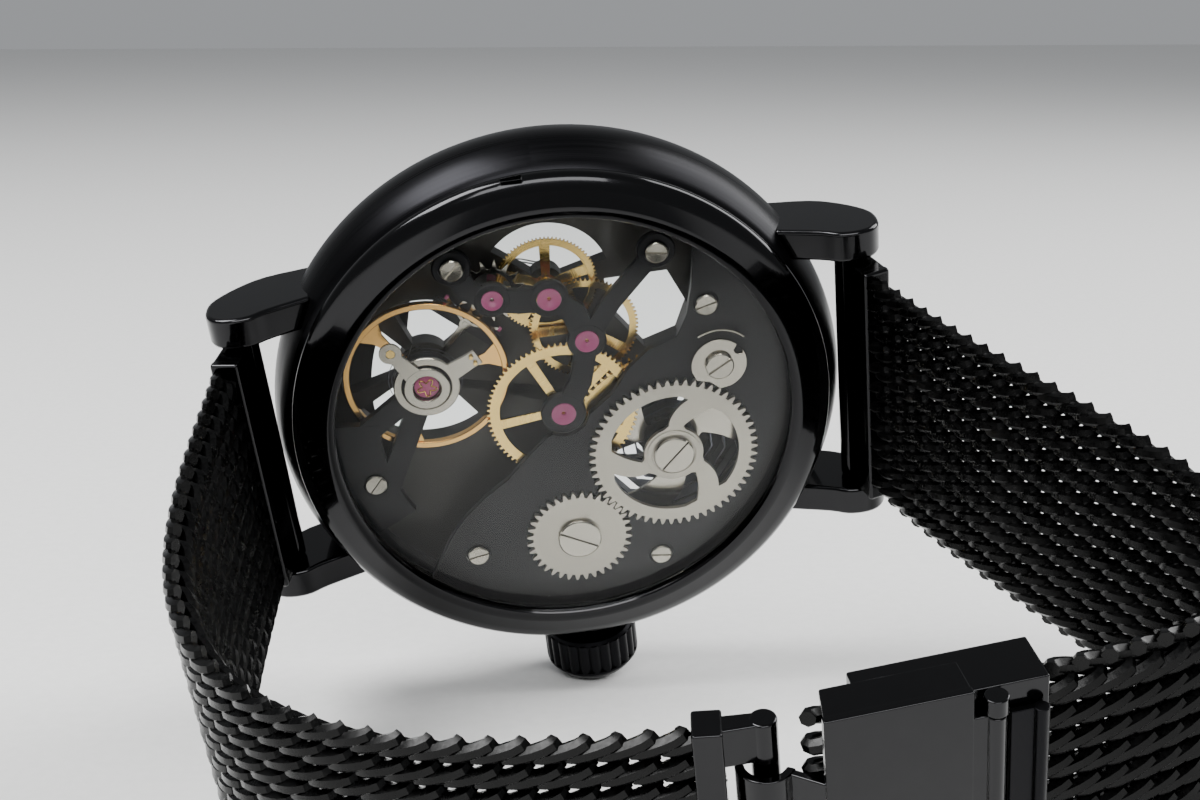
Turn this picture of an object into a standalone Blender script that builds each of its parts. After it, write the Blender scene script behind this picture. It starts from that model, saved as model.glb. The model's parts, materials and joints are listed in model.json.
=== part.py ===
"""A skeleton hand-wound wristwatch on a closed mesh strap, lying on its crown and the strap's edge.

The watch is drawn in its own frame, in millimetres: +X to 3 o'clock and the crown, +Y to 12 o'clock,
+Z from the case back to the dial. Each mesh is scaled to metres as it is made. The empty named watch
then lays the whole thing on the ground, +Z up.
"""

import itertools
import math

import bmesh
import bpy
import numpy as np
from mathutils import Matrix, Vector

MM = 0.001
WELD = 1e-4

# Case
CASE_RADIUS = 22.0
CASE_BULGE = 2.2
CASE_MIDDLE = 5.5
CASE_BACK_FACE = 1.85
CASE_FRONT_FACE = 9.3
CASE_BORE = 19.7
SEAM = 0.1
FIT = 0.05
BACK_RADIUS = 20.55
BACK_OPENING = 17.35
BACK_SPIGOT_END = 3.2
BACK_GLASS_RADIUS = 18.3
BACK_GLASS = (0.4, 1.25)
BACK_GLASS_STEP = 0.55
BACK_GLASS_STEP_RADIUS = BACK_OPENING - SEAM - FIT
BEZEL_HEIGHT = 1.9
FRONT_OPENING = 17.4
FRONT_GLASS_THICKNESS = 1.1
GASKET_WIDTH = 0.45
GASKET_HEIGHT = 0.5

# Lugs and strap
LUG_GAP = 20.3
LUG_WIDTH = 2.45
BAR_STANDOFF = 0.8
BAR_Y = CASE_RADIUS + BAR_STANDOFF
BAR_Z = 3.3
LUG_PAST_BAR = 2.2
LUG_REACH = BAR_Y + LUG_PAST_BAR
BAR_RADIUS = 0.55
TUBE_RADIUS = 1.1
STRAP_WIDTH = 20.0
STRAP_THICKNESS = 1.9
CLAMP_LENGTH = 2.0
CLAMP_WALL = 0.45
STRAP_GAP = 0.1
CLAMP_GAP = 0.3

# Crown and stem
CROWN_RADIUS = 3.9
CROWN_LENGTH = 3.35
CROWN_DOME = 1.7
CROWN_FLUTES = 24
CROWN_STANDOFF = 0.35
STEM_RADIUS = 0.45
STEM_INNER_END = 9.2
TUBE_BORE = 0.55
TUBE_WALL = 0.35
SLIDING_PINION_RADIUS = 1.15
STEM_SLOT = SLIDING_PINION_RADIUS + 0.2

# Movement levels, from the case back towards the dial
MOVEMENT_RADIUS = 18.25
WINDING_LEVEL = (1.62, 2.0)
BRIDGE_LEVEL = (2.08, 2.62)
COCK_LEVEL = (1.9, 2.62)
REGULATOR_LEVEL = (1.55, 1.82)
CENTRE_WHEEL_LEVEL = (2.7, 2.88)
BARREL_TEETH_LEVEL = (3.05, 3.45)
BARREL_DRUM_END = 4.85
BALANCE_LEVEL = (3.02, 3.6)
HAIRSPRING_LEVEL = (2.7, 2.86)
ESCAPE_LEVEL = (3.72, 3.88)
THIRD_WHEEL_LEVEL = (4.3, 4.46)
FOURTH_WHEEL_LEVEL = (4.62, 4.78)
PLATE_LEVEL = (5.0, 6.4)
DIAL_LEVEL = (7.5, 7.9)
SECONDS_HAND_LEVEL = (8.02, 8.14)
HOUR_HAND_LEVEL = (8.3, 8.45)
MINUTE_HAND_LEVEL = (8.65, 8.8)

# Wheel centres in the movement, as (x, y)
CENTRE = (0.0, 0.0)
THIRD = (-6.03, -2.43)
FOURTH = (-10.0, 0.0)
ESCAPE = (-10.56, 4.18)
BARREL = (4.73, -8.12)
CROWN_WHEEL = (11.28, 0.0)
BALANCE = (-4.4, 9.95)
CLICK = (-2.7, -12.2)
MINUTE_WHEEL_ANGLE = math.radians(95)

# Teeth
BARREL_TEETH = 80
CENTRE_PINION = 10
CENTRE_TEETH = 80
THIRD_PINION = 10
THIRD_TEETH = 75
FOURTH_PINION = 10
FOURTH_TEETH = 80
ESCAPE_PINION = 8
ESCAPE_TEETH = 15
RATCHET_TEETH = 58
CROWN_WHEEL_TEETH = 36
CANNON_TEETH = 12
MINUTE_WHEEL_TEETH = 36
MINUTE_PINION = 10
HOUR_TEETH = 40
ARBOR_RADIUS = 0.3
PIVOT_GAP = 0.06
CENTRE_RELIEF_RADIUS = 1.95

# Balance
BALANCE_RADIUS = 6.3
BALANCE_RIM = 0.55
ESCAPE_RADIUS = 2.55
PALLET_DISTANCE = 1.3

CASE_ROUND = 40
ROUND = 28
SMALL_ROUND = 12
TINY_ROUND = 8

BLACK = ("black_steel", (0.012, 0.012, 0.013), 0.22, 1.0)
SATIN_BLACK = ("satin_black_steel", (0.02, 0.02, 0.022), 0.38, 1.0)
BRIDGE_BLACK = ("bridge_black", (0.03, 0.03, 0.032), 0.5, 0.6)
PLATE_GREY = ("plate_grey", (0.16, 0.15, 0.13), 0.5, 1.0)
STEEL = ("steel", (0.62, 0.6, 0.55), 0.28, 1.0)
BRASS = ("brass", (0.83, 0.6, 0.24), 0.25, 1.0)
GOLD = ("gold_rim", (0.8, 0.48, 0.16), 0.2, 1.0)
RUBY = ("ruby", (0.45, 0.08, 0.22), 0.1, 0.0)
GLASS = ("glass", (0.9, 0.92, 0.93), 0.03, 0.0)
RUBBER = ("seal_rubber", (0.02, 0.02, 0.02), 0.8, 0.0)
BLUE_STEEL = ("spring_steel", (0.12, 0.12, 0.16), 0.3, 1.0)
DIAL_BLACK = ("dial_black", (0.02, 0.02, 0.022), 0.6, 0.0)


def material(finish):
    """The Principled material of a finish, made once."""
    name, colour, roughness, metallic = finish
    found = bpy.data.materials.get(name)
    if found:
        return found
    made = bpy.data.materials.new(name)
    made.use_nodes = True
    shader = made.node_tree.nodes["Principled BSDF"]
    shader.inputs["Base Color"].default_value = (*colour, 1.0)
    shader.inputs["Roughness"].default_value = roughness
    shader.inputs["Metallic"].default_value = metallic
    return made


def put(name, bm, finish, parent, at=(0.0, 0.0, 0.0)):
    """The bmesh, drawn in millimetres about its own origin, as an object in metres."""
    bmesh.ops.remove_doubles(bm, verts=bm.verts, dist=WELD)
    bmesh.ops.recalc_face_normals(bm, faces=bm.faces)
    bmesh.ops.scale(bm, vec=(MM, MM, MM), verts=bm.verts)
    mesh = bpy.data.meshes.new(name)
    bm.to_mesh(mesh)
    bm.free()
    mesh.materials.append(material(finish))
    mesh.shade_smooth()
    mesh.set_sharp_from_angle(angle=math.radians(35))
    obj = bpy.data.objects.new(name, mesh)
    bpy.context.scene.collection.objects.link(obj)
    obj.parent = parent
    obj.location = Vector(at) * MM
    return obj


def put_about(name, bm, finish, parent, axis):
    """An object drawn in the watch's frame, with its origin on the axis that it turns about."""
    bmesh.ops.translate(bm, verts=bm.verts, vec=-Vector(axis))
    return put(name, bm, finish, parent, axis)


def combine(obj, tools, operation):
    """Adds or removes tool objects from obj; a tool is hidden and follows obj."""
    for tool in tools:
        tool.hide_render = True
        tool.display_type = "WIRE"
        boolean = obj.modifiers.new(tool.name, "BOOLEAN")
        boolean.operation = operation
        boolean.object = tool


def turned(profile, steps=ROUND, ring=True):
    """A profile of (radius, z) points turned about Z. A ring's profile closes on itself."""
    bm = bmesh.new()
    verts = [bm.verts.new((radius, 0.0, z)) for radius, z in profile]
    edges = [bm.edges.new(pair) for pair in zip(verts, verts[1:])]
    if ring:
        edges.append(bm.edges.new((verts[-1], verts[0])))
    bmesh.ops.spin(
        bm, geom=verts + edges, axis=(0, 0, 1), cent=(0, 0, 0), angle=math.tau, steps=steps, use_merge=True
    )
    bmesh.ops.remove_doubles(bm, verts=bm.verts, dist=WELD)
    return bm


def rod(radius, low, high, steps=SMALL_ROUND):
    return turned([(0.0, low), (radius, low), (radius, high), (0.0, high)], steps, ring=False)


def washer(inner, outer, low, high, steps=ROUND):
    return turned([(inner, low), (outer, low), (outer, high), (inner, high)], steps)


def extruded(outlines, low, high):
    """A flat shape with holes, its outlines given as (x, y) points, from z low to z high."""
    bm = bmesh.new()
    for outline in outlines:
        verts = [bm.verts.new((x, y, low)) for x, y in outline]
        for pair in zip(verts, verts[1:] + verts[:1]):
            bm.edges.new(pair)
    bmesh.ops.triangle_fill(bm, edges=bm.edges[:], use_beauty=True, use_dissolve=False, normal=(0, 0, 1))
    lifted = bmesh.ops.extrude_face_region(bm, geom=bm.faces[:])["geom"]
    top = [item for item in lifted if isinstance(item, bmesh.types.BMVert)]
    bmesh.ops.translate(bm, verts=top, vec=(0, 0, high - low))
    return bm


def block(low, high):
    """A box between two corners."""
    bm = bmesh.new()
    bmesh.ops.create_cube(bm, size=1.0)
    size = Vector(high) - Vector(low)
    bmesh.ops.scale(bm, vec=size, verts=bm.verts)
    bmesh.ops.translate(bm, verts=bm.verts, vec=(Vector(high) + Vector(low)) / 2)
    return bm


def along_x(bm):
    """Turns what was drawn along Z to lie along X, so that its X, Y become Y, Z."""
    swap = Matrix(((0, 0, 1), (1, 0, 0), (0, 1, 0))).to_4x4()
    bmesh.ops.transform(bm, matrix=swap, verts=bm.verts)
    return bm


def circle(centre, radius, steps=SMALL_ROUND):
    return sector_points(centre, radius, 0.0, math.tau * (steps - 1) / steps, steps)


def sector_points(centre, radius, start, end, count):
    return [
        (centre[0] + radius * math.cos(a), centre[1] + radius * math.sin(a))
        for a in np.linspace(start, end, count)
    ]


def sector(centre, inner, outer, start_deg, end_deg, count=8):
    """The outline of a part of a ring between two angles."""
    start, end = math.radians(start_deg), math.radians(end_deg)
    return sector_points(centre, outer, start, end, count) + sector_points(centre, inner, end, start, count)


def bar(start, end, half_width, start_half=None):
    """The outline of a straight arm, tapered when start_half is given."""
    first = half_width if start_half is None else start_half
    a, b = Vector(start), Vector(end)
    side = (b - a).normalized().orthogonal()
    return [
        tuple(a + side * first),
        tuple(a - side * first),
        tuple(b - side * half_width),
        tuple(b + side * half_width),
    ]


def toothed(teeth, pitch_radius, addendum, dedendum, width, tip_width, phase=0.0):
    """A gear outline: each tooth is a trapezium, its widths shares of the pitch."""
    step = math.tau / teeth
    root, tip = pitch_radius - dedendum, pitch_radius + addendum
    points = []
    for k in range(teeth):
        middle = k * step + phase
        for radius, offset in (
            (root, -width / 2), (tip, -tip_width / 2), (tip, tip_width / 2), (root, width / 2)
        ):
            angle = middle + offset * step
            points.append((radius * math.cos(angle), radius * math.sin(angle)))
    return points


def pointed(teeth, pitch_radius, addendum, dedendum, phase=0.0):
    """A fine gear outline with one point at each tip and one at each root."""
    step = math.tau / teeth
    points = []
    for k in range(teeth):
        for radius, offset in ((pitch_radius + addendum, 0.0), (pitch_radius - dedendum, 0.5)):
            angle = (k + offset) * step + phase
            points.append((radius * math.cos(angle), radius * math.sin(angle)))
    return points


def pitch_radii(first, second, first_teeth, second_teeth):
    """The two pitch radii and the module of a gear pair on these centres."""
    distance = math.dist(first, second)
    module = 2 * distance / (first_teeth + second_teeth)
    return module * first_teeth / 2, module * second_teeth / 2, module


def mesh_phase(driver, driven, driven_teeth, driver_teeth, driver_phase=0.0):
    """The phase that puts a gap of the driven gear opposite a tooth of its driver."""
    heading = math.atan2(driven[1] - driver[1], driven[0] - driver[0])
    driver_step = math.tau / driver_teeth
    driver_share = ((heading - driver_phase) / driver_step) % 1.0
    driven_step = math.tau / driven_teeth
    return heading + math.pi + (driver_share + 0.5) * driven_step


# Case


def barrel_radius(z):
    """The case side's radius at a height: a shallow curve, widest at the middle."""
    return CASE_RADIUS - CASE_BULGE * ((z - CASE_MIDDLE) / 4.5) ** 2


def lug_outline():
    """A lug from its side, as (y, z), drooping towards the wrist."""
    root = CASE_BORE - 1.5
    return [
        (root, 2.9),
        (LUG_REACH - 3.6, 1.1),
        (LUG_REACH - 2.2, 0.85),
        (LUG_REACH - 0.8, 1.2),
        (LUG_REACH - 0.1, 2.1),
        (LUG_REACH, 3.4),
        (LUG_REACH - 0.6, 4.7),
        (LUG_REACH - 2.3, 6.3),
        (LUG_REACH - 4.2, 7.6),
        (root, 8.3),
    ]


def make_mid_case(watch):
    heights = np.linspace(CASE_BACK_FACE, CASE_FRONT_FACE, 7)
    groove = CASE_BORE + GASKET_WIDTH + FIT
    profile = [(barrel_radius(z), z) for z in heights]
    profile += [(CASE_BORE, CASE_FRONT_FACE), (CASE_BORE, CASE_BACK_FACE + GASKET_HEIGHT + FIT)]
    profile += [(groove, CASE_BACK_FACE + GASKET_HEIGHT + FIT), (groove, CASE_BACK_FACE)]
    case = put("mid_case", turned(profile, CASE_ROUND), SATIN_BLACK, watch)
    for side_x, side_y in itertools.product((-1, 1), (-1, 1)):
        inner = side_x * LUG_GAP / 2
        outer = side_x * (LUG_GAP / 2 + LUG_WIDTH)
        outline = [(side_y * y, z) for y, z in lug_outline()]
        lug = put(
            f"lug_{side_x}_{side_y}_tool",
            along_x(extruded([outline], min(inner, outer), max(inner, outer))),
            BLACK,
            watch,
        )
        combine(case, [lug], "UNION")
    bore = put("case_bore_tool", rod(CASE_BORE, 0.0, CASE_FRONT_FACE + 1.0, CASE_ROUND), BLACK, watch)
    combine(case, [bore], "DIFFERENCE")
    for side_y in (-1, 1):
        hole = rod(BAR_RADIUS - 0.2 + FIT, -LUG_GAP / 2 - 1.3, LUG_GAP / 2 + 1.3, TINY_ROUND)
        drill = put(f"bar_hole_{side_y}_tool", along_x(hole), BLACK, watch, (0.0, side_y * BAR_Y, BAR_Z))
        combine(case, [drill], "DIFFERENCE")
    stem_hole = along_x(rod(TUBE_BORE + TUBE_WALL + FIT, CASE_BORE - 1.0, CASE_RADIUS + 2.0, SMALL_ROUND))
    combine(case, [put("stem_hole_tool", stem_hole, BLACK, watch, (0.0, 0.0, CASE_MIDDLE))], "DIFFERENCE")
    return case


def make_case_shells(watch):
    opening, seat = BACK_OPENING, BACK_GLASS_RADIUS + FIT
    flange, spigot = CASE_BACK_FACE - SEAM, CASE_BORE - 0.15
    back = [
        (opening, BACK_GLASS_STEP - FIT),
        (opening, 0.12),
        (opening + 0.25, 0.0),
        (opening + 0.9, 0.0),
        (BACK_RADIUS - 0.4, 0.7),
        (BACK_RADIUS, 1.15),
        (BACK_RADIUS, flange),
        (spigot, flange),
        (spigot, BACK_SPIGOT_END),
        (seat, BACK_SPIGOT_END),
        (seat, BACK_GLASS_STEP - FIT),
    ]
    case_back = put("case_back", turned(back, CASE_ROUND), BLACK, watch)
    notch = block((-BACK_RADIUS - 1.0, 0.9, 0.55), (-BACK_RADIUS + 0.35, 2.4, flange - 0.25))
    combine(case_back, [put("back_notch_tool", notch, BLACK, watch)], "DIFFERENCE")

    glass = [
        (0.0, BACK_GLASS[0]),
        (BACK_GLASS_STEP_RADIUS, BACK_GLASS[0]),
        (BACK_GLASS_STEP_RADIUS, BACK_GLASS_STEP),
        (BACK_GLASS_RADIUS, BACK_GLASS_STEP),
        (BACK_GLASS_RADIUS, BACK_GLASS[1]),
        (0.0, BACK_GLASS[1]),
    ]
    put("back_crystal", turned(glass, CASE_ROUND, ring=False), GLASS, watch)
    gasket_low = flange + FIT
    put(
        "back_gasket",
        washer(
            CASE_BORE + FIT, CASE_BORE + GASKET_WIDTH, gasket_low, gasket_low + GASKET_HEIGHT, CASE_ROUND
        ),
        RUBBER,
        watch,
    )

    bezel_low = CASE_FRONT_FACE + SEAM
    bezel_high = bezel_low + BEZEL_HEIGHT
    edge = barrel_radius(CASE_FRONT_FACE)
    bezel = [
        (edge, bezel_low),
        (edge - 0.25, bezel_low + 0.7),
        (edge - 1.0, bezel_high - 0.3),
        (edge - 1.7, bezel_high),
        (FRONT_OPENING + 0.3, bezel_high),
        (FRONT_OPENING, bezel_high - 0.3),
        (FRONT_OPENING, bezel_low),
    ]
    put("bezel", turned(bezel, CASE_ROUND), BLACK, watch)
    front = FRONT_OPENING - 0.3
    glass_low = bezel_high - FRONT_GLASS_THICKNESS - 0.05
    put(
        "front_crystal",
        turned(
            [
                (0.0, glass_low),
                (front, glass_low),
                (front, bezel_high - 0.25),
                (front - 0.2, bezel_high - 0.05),
                (0.0, bezel_high - 0.05),
            ],
            CASE_ROUND,
            ring=False,
        ),
        GLASS,
        watch,
    )
    put(
        "crystal_gasket",
        washer(front + FIT, FRONT_OPENING - FIT, glass_low, bezel_high - 0.35, CASE_ROUND),
        RUBBER,
        watch,
    )
    ring_inner, ring_outer = MOVEMENT_RADIUS + 0.1, CASE_BORE - 0.1
    ring = put(
        "movement_ring", washer(
            ring_inner, ring_outer, BACK_SPIGOT_END + 0.1, DIAL_LEVEL[0] - 0.1, CASE_ROUND
        ), BRIDGE_BLACK, watch
    )
    window = along_x(rod(STEM_RADIUS + 0.25, ring_inner - 1.0, ring_outer + 1.0, TINY_ROUND))
    combine(ring, [put("ring_window_tool", window, BLACK, watch, (0.0, 0.0, CASE_MIDDLE))], "DIFFERENCE")
    put(
        "dial_ring",
        washer(14.6, FRONT_OPENING + 0.8, DIAL_LEVEL[0], DIAL_LEVEL[1], CASE_ROUND),
        DIAL_BLACK,
        watch,
    )


def make_crown(watch):
    tube_start, tube_end = CASE_BORE + 0.15, CASE_RADIUS + 0.9
    tube = along_x(washer(TUBE_BORE, TUBE_BORE + TUBE_WALL, tube_start, tube_end, SMALL_ROUND))
    put("crown_tube", tube, STEEL, watch, (0.0, 0.0, CASE_MIDDLE))

    start = CASE_RADIUS + CROWN_STANDOFF
    rim = start + CROWN_LENGTH
    pocket, pocket_end = TUBE_BORE + TUBE_WALL + 0.2, tube_end + 0.3
    blind, blind_end = STEM_RADIUS + FIT, rim - 0.6
    fluted = pointed(CROWN_FLUTES, CROWN_RADIUS - 0.25, 0.25, 0.0)
    body = put(
        "crown", along_x(extruded([fluted], start, rim)), SATIN_BLACK, watch, (0.0, 0.0, CASE_MIDDLE)
    )
    curve = [
        ((CROWN_RADIUS - 0.15) * math.cos(a), rim - 0.3 + (CROWN_DOME + 0.3) * math.sin(a))
        for a in np.linspace(0.0, math.pi / 2, 6)
    ]
    dome = turned([(0.0, rim - 0.3), *curve[:-1], (0.0, curve[-1][1])], CROWN_FLUTES, ring=False)
    combine(body, [put("crown_dome_tool", along_x(dome), BLACK, watch, (0.0, 0.0, CASE_MIDDLE))], "UNION")
    hollow = [
        (0.0, start - 1.0),
        (pocket, start - 1.0),
        (pocket, pocket_end),
        (blind, pocket_end),
        (blind, blind_end),
        (0.0, blind_end),
    ]
    cavity = put(
        "crown_hollow_tool",
        along_x(turned(hollow, SMALL_ROUND, ring=False)),
        BLACK,
        watch,
        (0.0, 0.0, CASE_MIDDLE),
    )
    combine(body, [cavity], "DIFFERENCE")

    stem_end = blind_end - 0.1
    square_start, pinion_end = STEM_INNER_END + 1.6, STEM_INNER_END + 4.6
    stem = [
        (0.0, STEM_INNER_END),
        (STEM_RADIUS - 0.15, STEM_INNER_END),
        (STEM_RADIUS - 0.15, square_start),
        (STEM_RADIUS, square_start),
        (STEM_RADIUS, pinion_end),
        (SLIDING_PINION_RADIUS, pinion_end),
        (SLIDING_PINION_RADIUS, pinion_end + 1.4),
        (STEM_RADIUS, pinion_end + 1.4),
        (STEM_RADIUS, stem_end),
        (0.0, stem_end),
    ]
    put(
        "winding_stem",
        along_x(turned(stem, SMALL_ROUND, ring=False)),
        STEEL,
        watch,
        (0.0, 0.0, CASE_MIDDLE),
    )


# Movement


def screw(name, watch, at, radius, top, depth, slot_deg):
    """A slotted screw seen head-on from the case back, its head towards -Z."""
    head = 0.32
    shape = [
        (0.0, 0.0),
        (radius - 0.06, 0.0),
        (radius, 0.06),
        (radius, head),
        (radius * 0.5, head),
        (radius * 0.5, depth),
        (0.0, depth),
    ]
    made = put(name, turned(shape, SMALL_ROUND, ring=False), STEEL, watch, (*at, top))
    slot = extruded([bar((-radius * 1.2, 0.0), (radius * 1.2, 0.0), radius * 0.09)], -0.2, 0.14)
    bmesh.ops.rotate(
        slot, verts=slot.verts, cent=(0, 0, 0), matrix=Matrix.Rotation(math.radians(slot_deg), 3, "Z")
    )
    combine(made, [put(f"{name}_slot_tool", slot, STEEL, watch, (*at, top))], "DIFFERENCE")
    return made


def drill(obj, watch, name, centre, radius, low=-1.0, high=12.0):
    tool = put(f"{name}_tool", rod(radius, low, high, SMALL_ROUND), BRIDGE_BLACK, watch, (*centre, 0.0))
    combine(obj, [tool], "DIFFERENCE")


def make_main_plate(watch):
    low, high = PLATE_LEVEL
    edge = math.asin(STEM_SLOT / MOVEMENT_RADIUS)
    outline = sector_points(CENTRE, MOVEMENT_RADIUS, edge, math.tau - edge, CASE_ROUND)
    slot_end = STEM_INNER_END - 0.4
    outline += [(slot_end, -STEM_SLOT), (slot_end, STEM_SLOT)]
    hub = ARBOR_RADIUS + 0.95
    holes = [
        sector(FOURTH, hub, 4.9, 130, 255, 10),
        sector(BALANCE, 2.0, 6.6, -35, 60, 8),
        sector(BALANCE, 2.0, 6.6, 75, 140, 8),
        sector(BALANCE, 2.0, 5.6, 160, 235, 8),
        sector(BARREL, 2.2, 7.2, -80, 0, 8),
        sector(BARREL, 2.2, 7.2, 15, 75, 8),
        sector(BARREL, 2.2, 7.2, 200, 262, 8),
        [(-9.6, -4.4), (-6.6, -4.7), (-3.2, -7.0), (-4.0, -9.6), (-6.4, -10.6), (-9.6, -9.2)],
        circle(CENTRE, 0.75),
        circle(THIRD, ARBOR_RADIUS + PIVOT_GAP, TINY_ROUND),
        circle(FOURTH, ARBOR_RADIUS + PIVOT_GAP, TINY_ROUND),
        circle(ESCAPE, ARBOR_RADIUS + PIVOT_GAP, TINY_ROUND),
        circle(BALANCE, ARBOR_RADIUS + PIVOT_GAP, TINY_ROUND),
        circle(BARREL, 1.0 + PIVOT_GAP, TINY_ROUND),
        circle(pallet_pivot(), 0.2 + PIVOT_GAP, TINY_ROUND),
        circle(minute_wheel_centre(), 0.35, TINY_ROUND),
    ]
    plate = put("main_plate", extruded([outline], low, high), PLATE_GREY, watch)
    for k, hole in enumerate(holes):
        combine(
            plate,
            [put(f"plate_hole_{k}_tool", extruded([hole], low - 1.0, high + 1.0), PLATE_GREY, watch)],
            "DIFFERENCE",
        )


def pallet_pivot():
    """The pallet fork's pivot: on the line from the escape wheel to the balance."""
    reach = ESCAPE_RADIUS * PALLET_DISTANCE
    heading = (Vector(BALANCE) - Vector(ESCAPE)).normalized()
    return tuple(Vector(ESCAPE) + heading * reach)


def minute_wheel_centre():
    distance = 3.7
    return (distance * math.cos(MINUTE_WHEEL_ANGLE), distance * math.sin(MINUTE_WHEEL_ANGLE))


JEWELS = (
    ("jewel_centre", CENTRE, 0.95),
    ("jewel_third", THIRD, 0.9),
    ("jewel_fourth", FOURTH, 0.9),
    ("jewel_escape", ESCAPE, 0.8),
)
BRIDGE_SCREWS = (
    ("barrel_bridge_screw", (11.8, 8.2), 80),
    ("train_bridge_screw", (-12.75, -8.25), 100),
)
COCK_SCREW = (3.65, 15.1)
BARREL_BRIDGE_HOLES = (BRIDGE_SCREWS[0][1], (-7.85, -11.6), (14.3, -6.4))
TRAIN_BRIDGE_HOLES = (BRIDGE_SCREWS[1][1], (-13.6, 6.8))
SCREW_RADIUS = 0.85


def make_bridges(watch):
    low, high = BRIDGE_LEVEL
    # The barrel bridge covers the lower half, with a round opening over the barrel.
    rim = MOVEMENT_RADIUS - 0.15
    outline = sector_points(CENTRE, rim, math.radians(-142), math.radians(42), 40)
    outline += [
        (10.0, 10.2),
        (6.6, 7.0),
        (3.6, 3.4),
        (1.9, 1.6),
        (0.3, -2.0),
        (-3.2, -5.3),
        (-5.4, -9.2),
        (-9.5, -10.6),
    ]
    holes = [circle(BARREL, 5.4, 28), circle(CROWN_WHEEL, 1.2)]
    holes.append(circle(CLICK, 0.65, TINY_ROUND))
    holes += [circle(at, SCREW_RADIUS * 0.5 + FIT, TINY_ROUND) for at in BARREL_BRIDGE_HOLES]
    barrel_bridge = put("barrel_bridge", extruded([outline, *holes], low, high), BRIDGE_BLACK, watch)
    spider = [
        put(
            "bridge_hub_tool", washer(1.0, 2.1, low, high, SMALL_ROUND), BRIDGE_BLACK, watch, (*BARREL, 0.0)
        ),
    ]
    for angle in (70, 190, 310):
        inner = sector_points(BARREL, 1.9, math.radians(angle), math.radians(angle), 1)[0]
        outer = sector_points(BARREL, 5.7, math.radians(angle + 22), math.radians(angle + 22), 1)[0]
        arm = extruded([bar(inner, outer, 0.9, 0.6)], low, high)
        spider.append(put(f"bridge_arm_{angle}_tool", arm, BRIDGE_BLACK, watch))
    combine(barrel_bridge, spider, "UNION")
    relief = rod(CENTRE_RELIEF_RADIUS, low - 1.0, high + 1.0)
    combine(barrel_bridge, [put("centre_relief_tool", relief, BRIDGE_BLACK, watch)], "DIFFERENCE")

    # The train bridge is a V of arms that join the jewels.
    bridge = put("train_bridge", rod(1.75, low, high, SMALL_ROUND), BRIDGE_BLACK, watch, (*CENTRE, 0.0))
    step = 0.02
    pads = [
        (THIRD, 1.55),
        (FOURTH, 1.55),
        (ESCAPE, 1.45),
        (TRAIN_BRIDGE_HOLES[0], 1.5),
        (TRAIN_BRIDGE_HOLES[1], 1.5),
    ]
    tools = [
        put(f"train_pad_{k}_tool", rod(radius, low, high), BRIDGE_BLACK, watch, (*at, 0.0))
        for k, (at, radius) in enumerate(pads)
    ]
    arms = [
        (CENTRE, THIRD, 0.9),
        (THIRD, FOURTH, 1.0),
        (FOURTH, ESCAPE, 1.0),
        (THIRD, pads[3][0], 0.8),
        (ESCAPE, pads[4][0], 0.9),
    ]
    for k, (start, end, half) in enumerate(arms):
        way = (Vector(end) - Vector(start)).normalized() * 0.35
        outline = bar(tuple(Vector(start) - way), tuple(Vector(end) + way), half)
        arm = extruded([outline], low + (k + 1) * step, high - (k + 1) * step)
        tools.append(put(f"train_arm_{k}_tool", arm, BRIDGE_BLACK, watch))
    combine(bridge, tools, "UNION")
    for name, at, radius in JEWELS:
        drill(bridge, watch, f"{name}_seat", at, radius + FIT)
        put(name, washer(0.17, radius, low, low + 0.3, SMALL_ROUND), RUBY, watch, (*at, 0.0))
    for k, at in enumerate(TRAIN_BRIDGE_HOLES):
        drill(bridge, watch, f"train_screw_hole_{k}", at, SCREW_RADIUS * 0.5 + FIT)
    for name, at, slot in BRIDGE_SCREWS:
        screw(name, watch, at, SCREW_RADIUS, low - 0.37, 0.85, slot)



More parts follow.
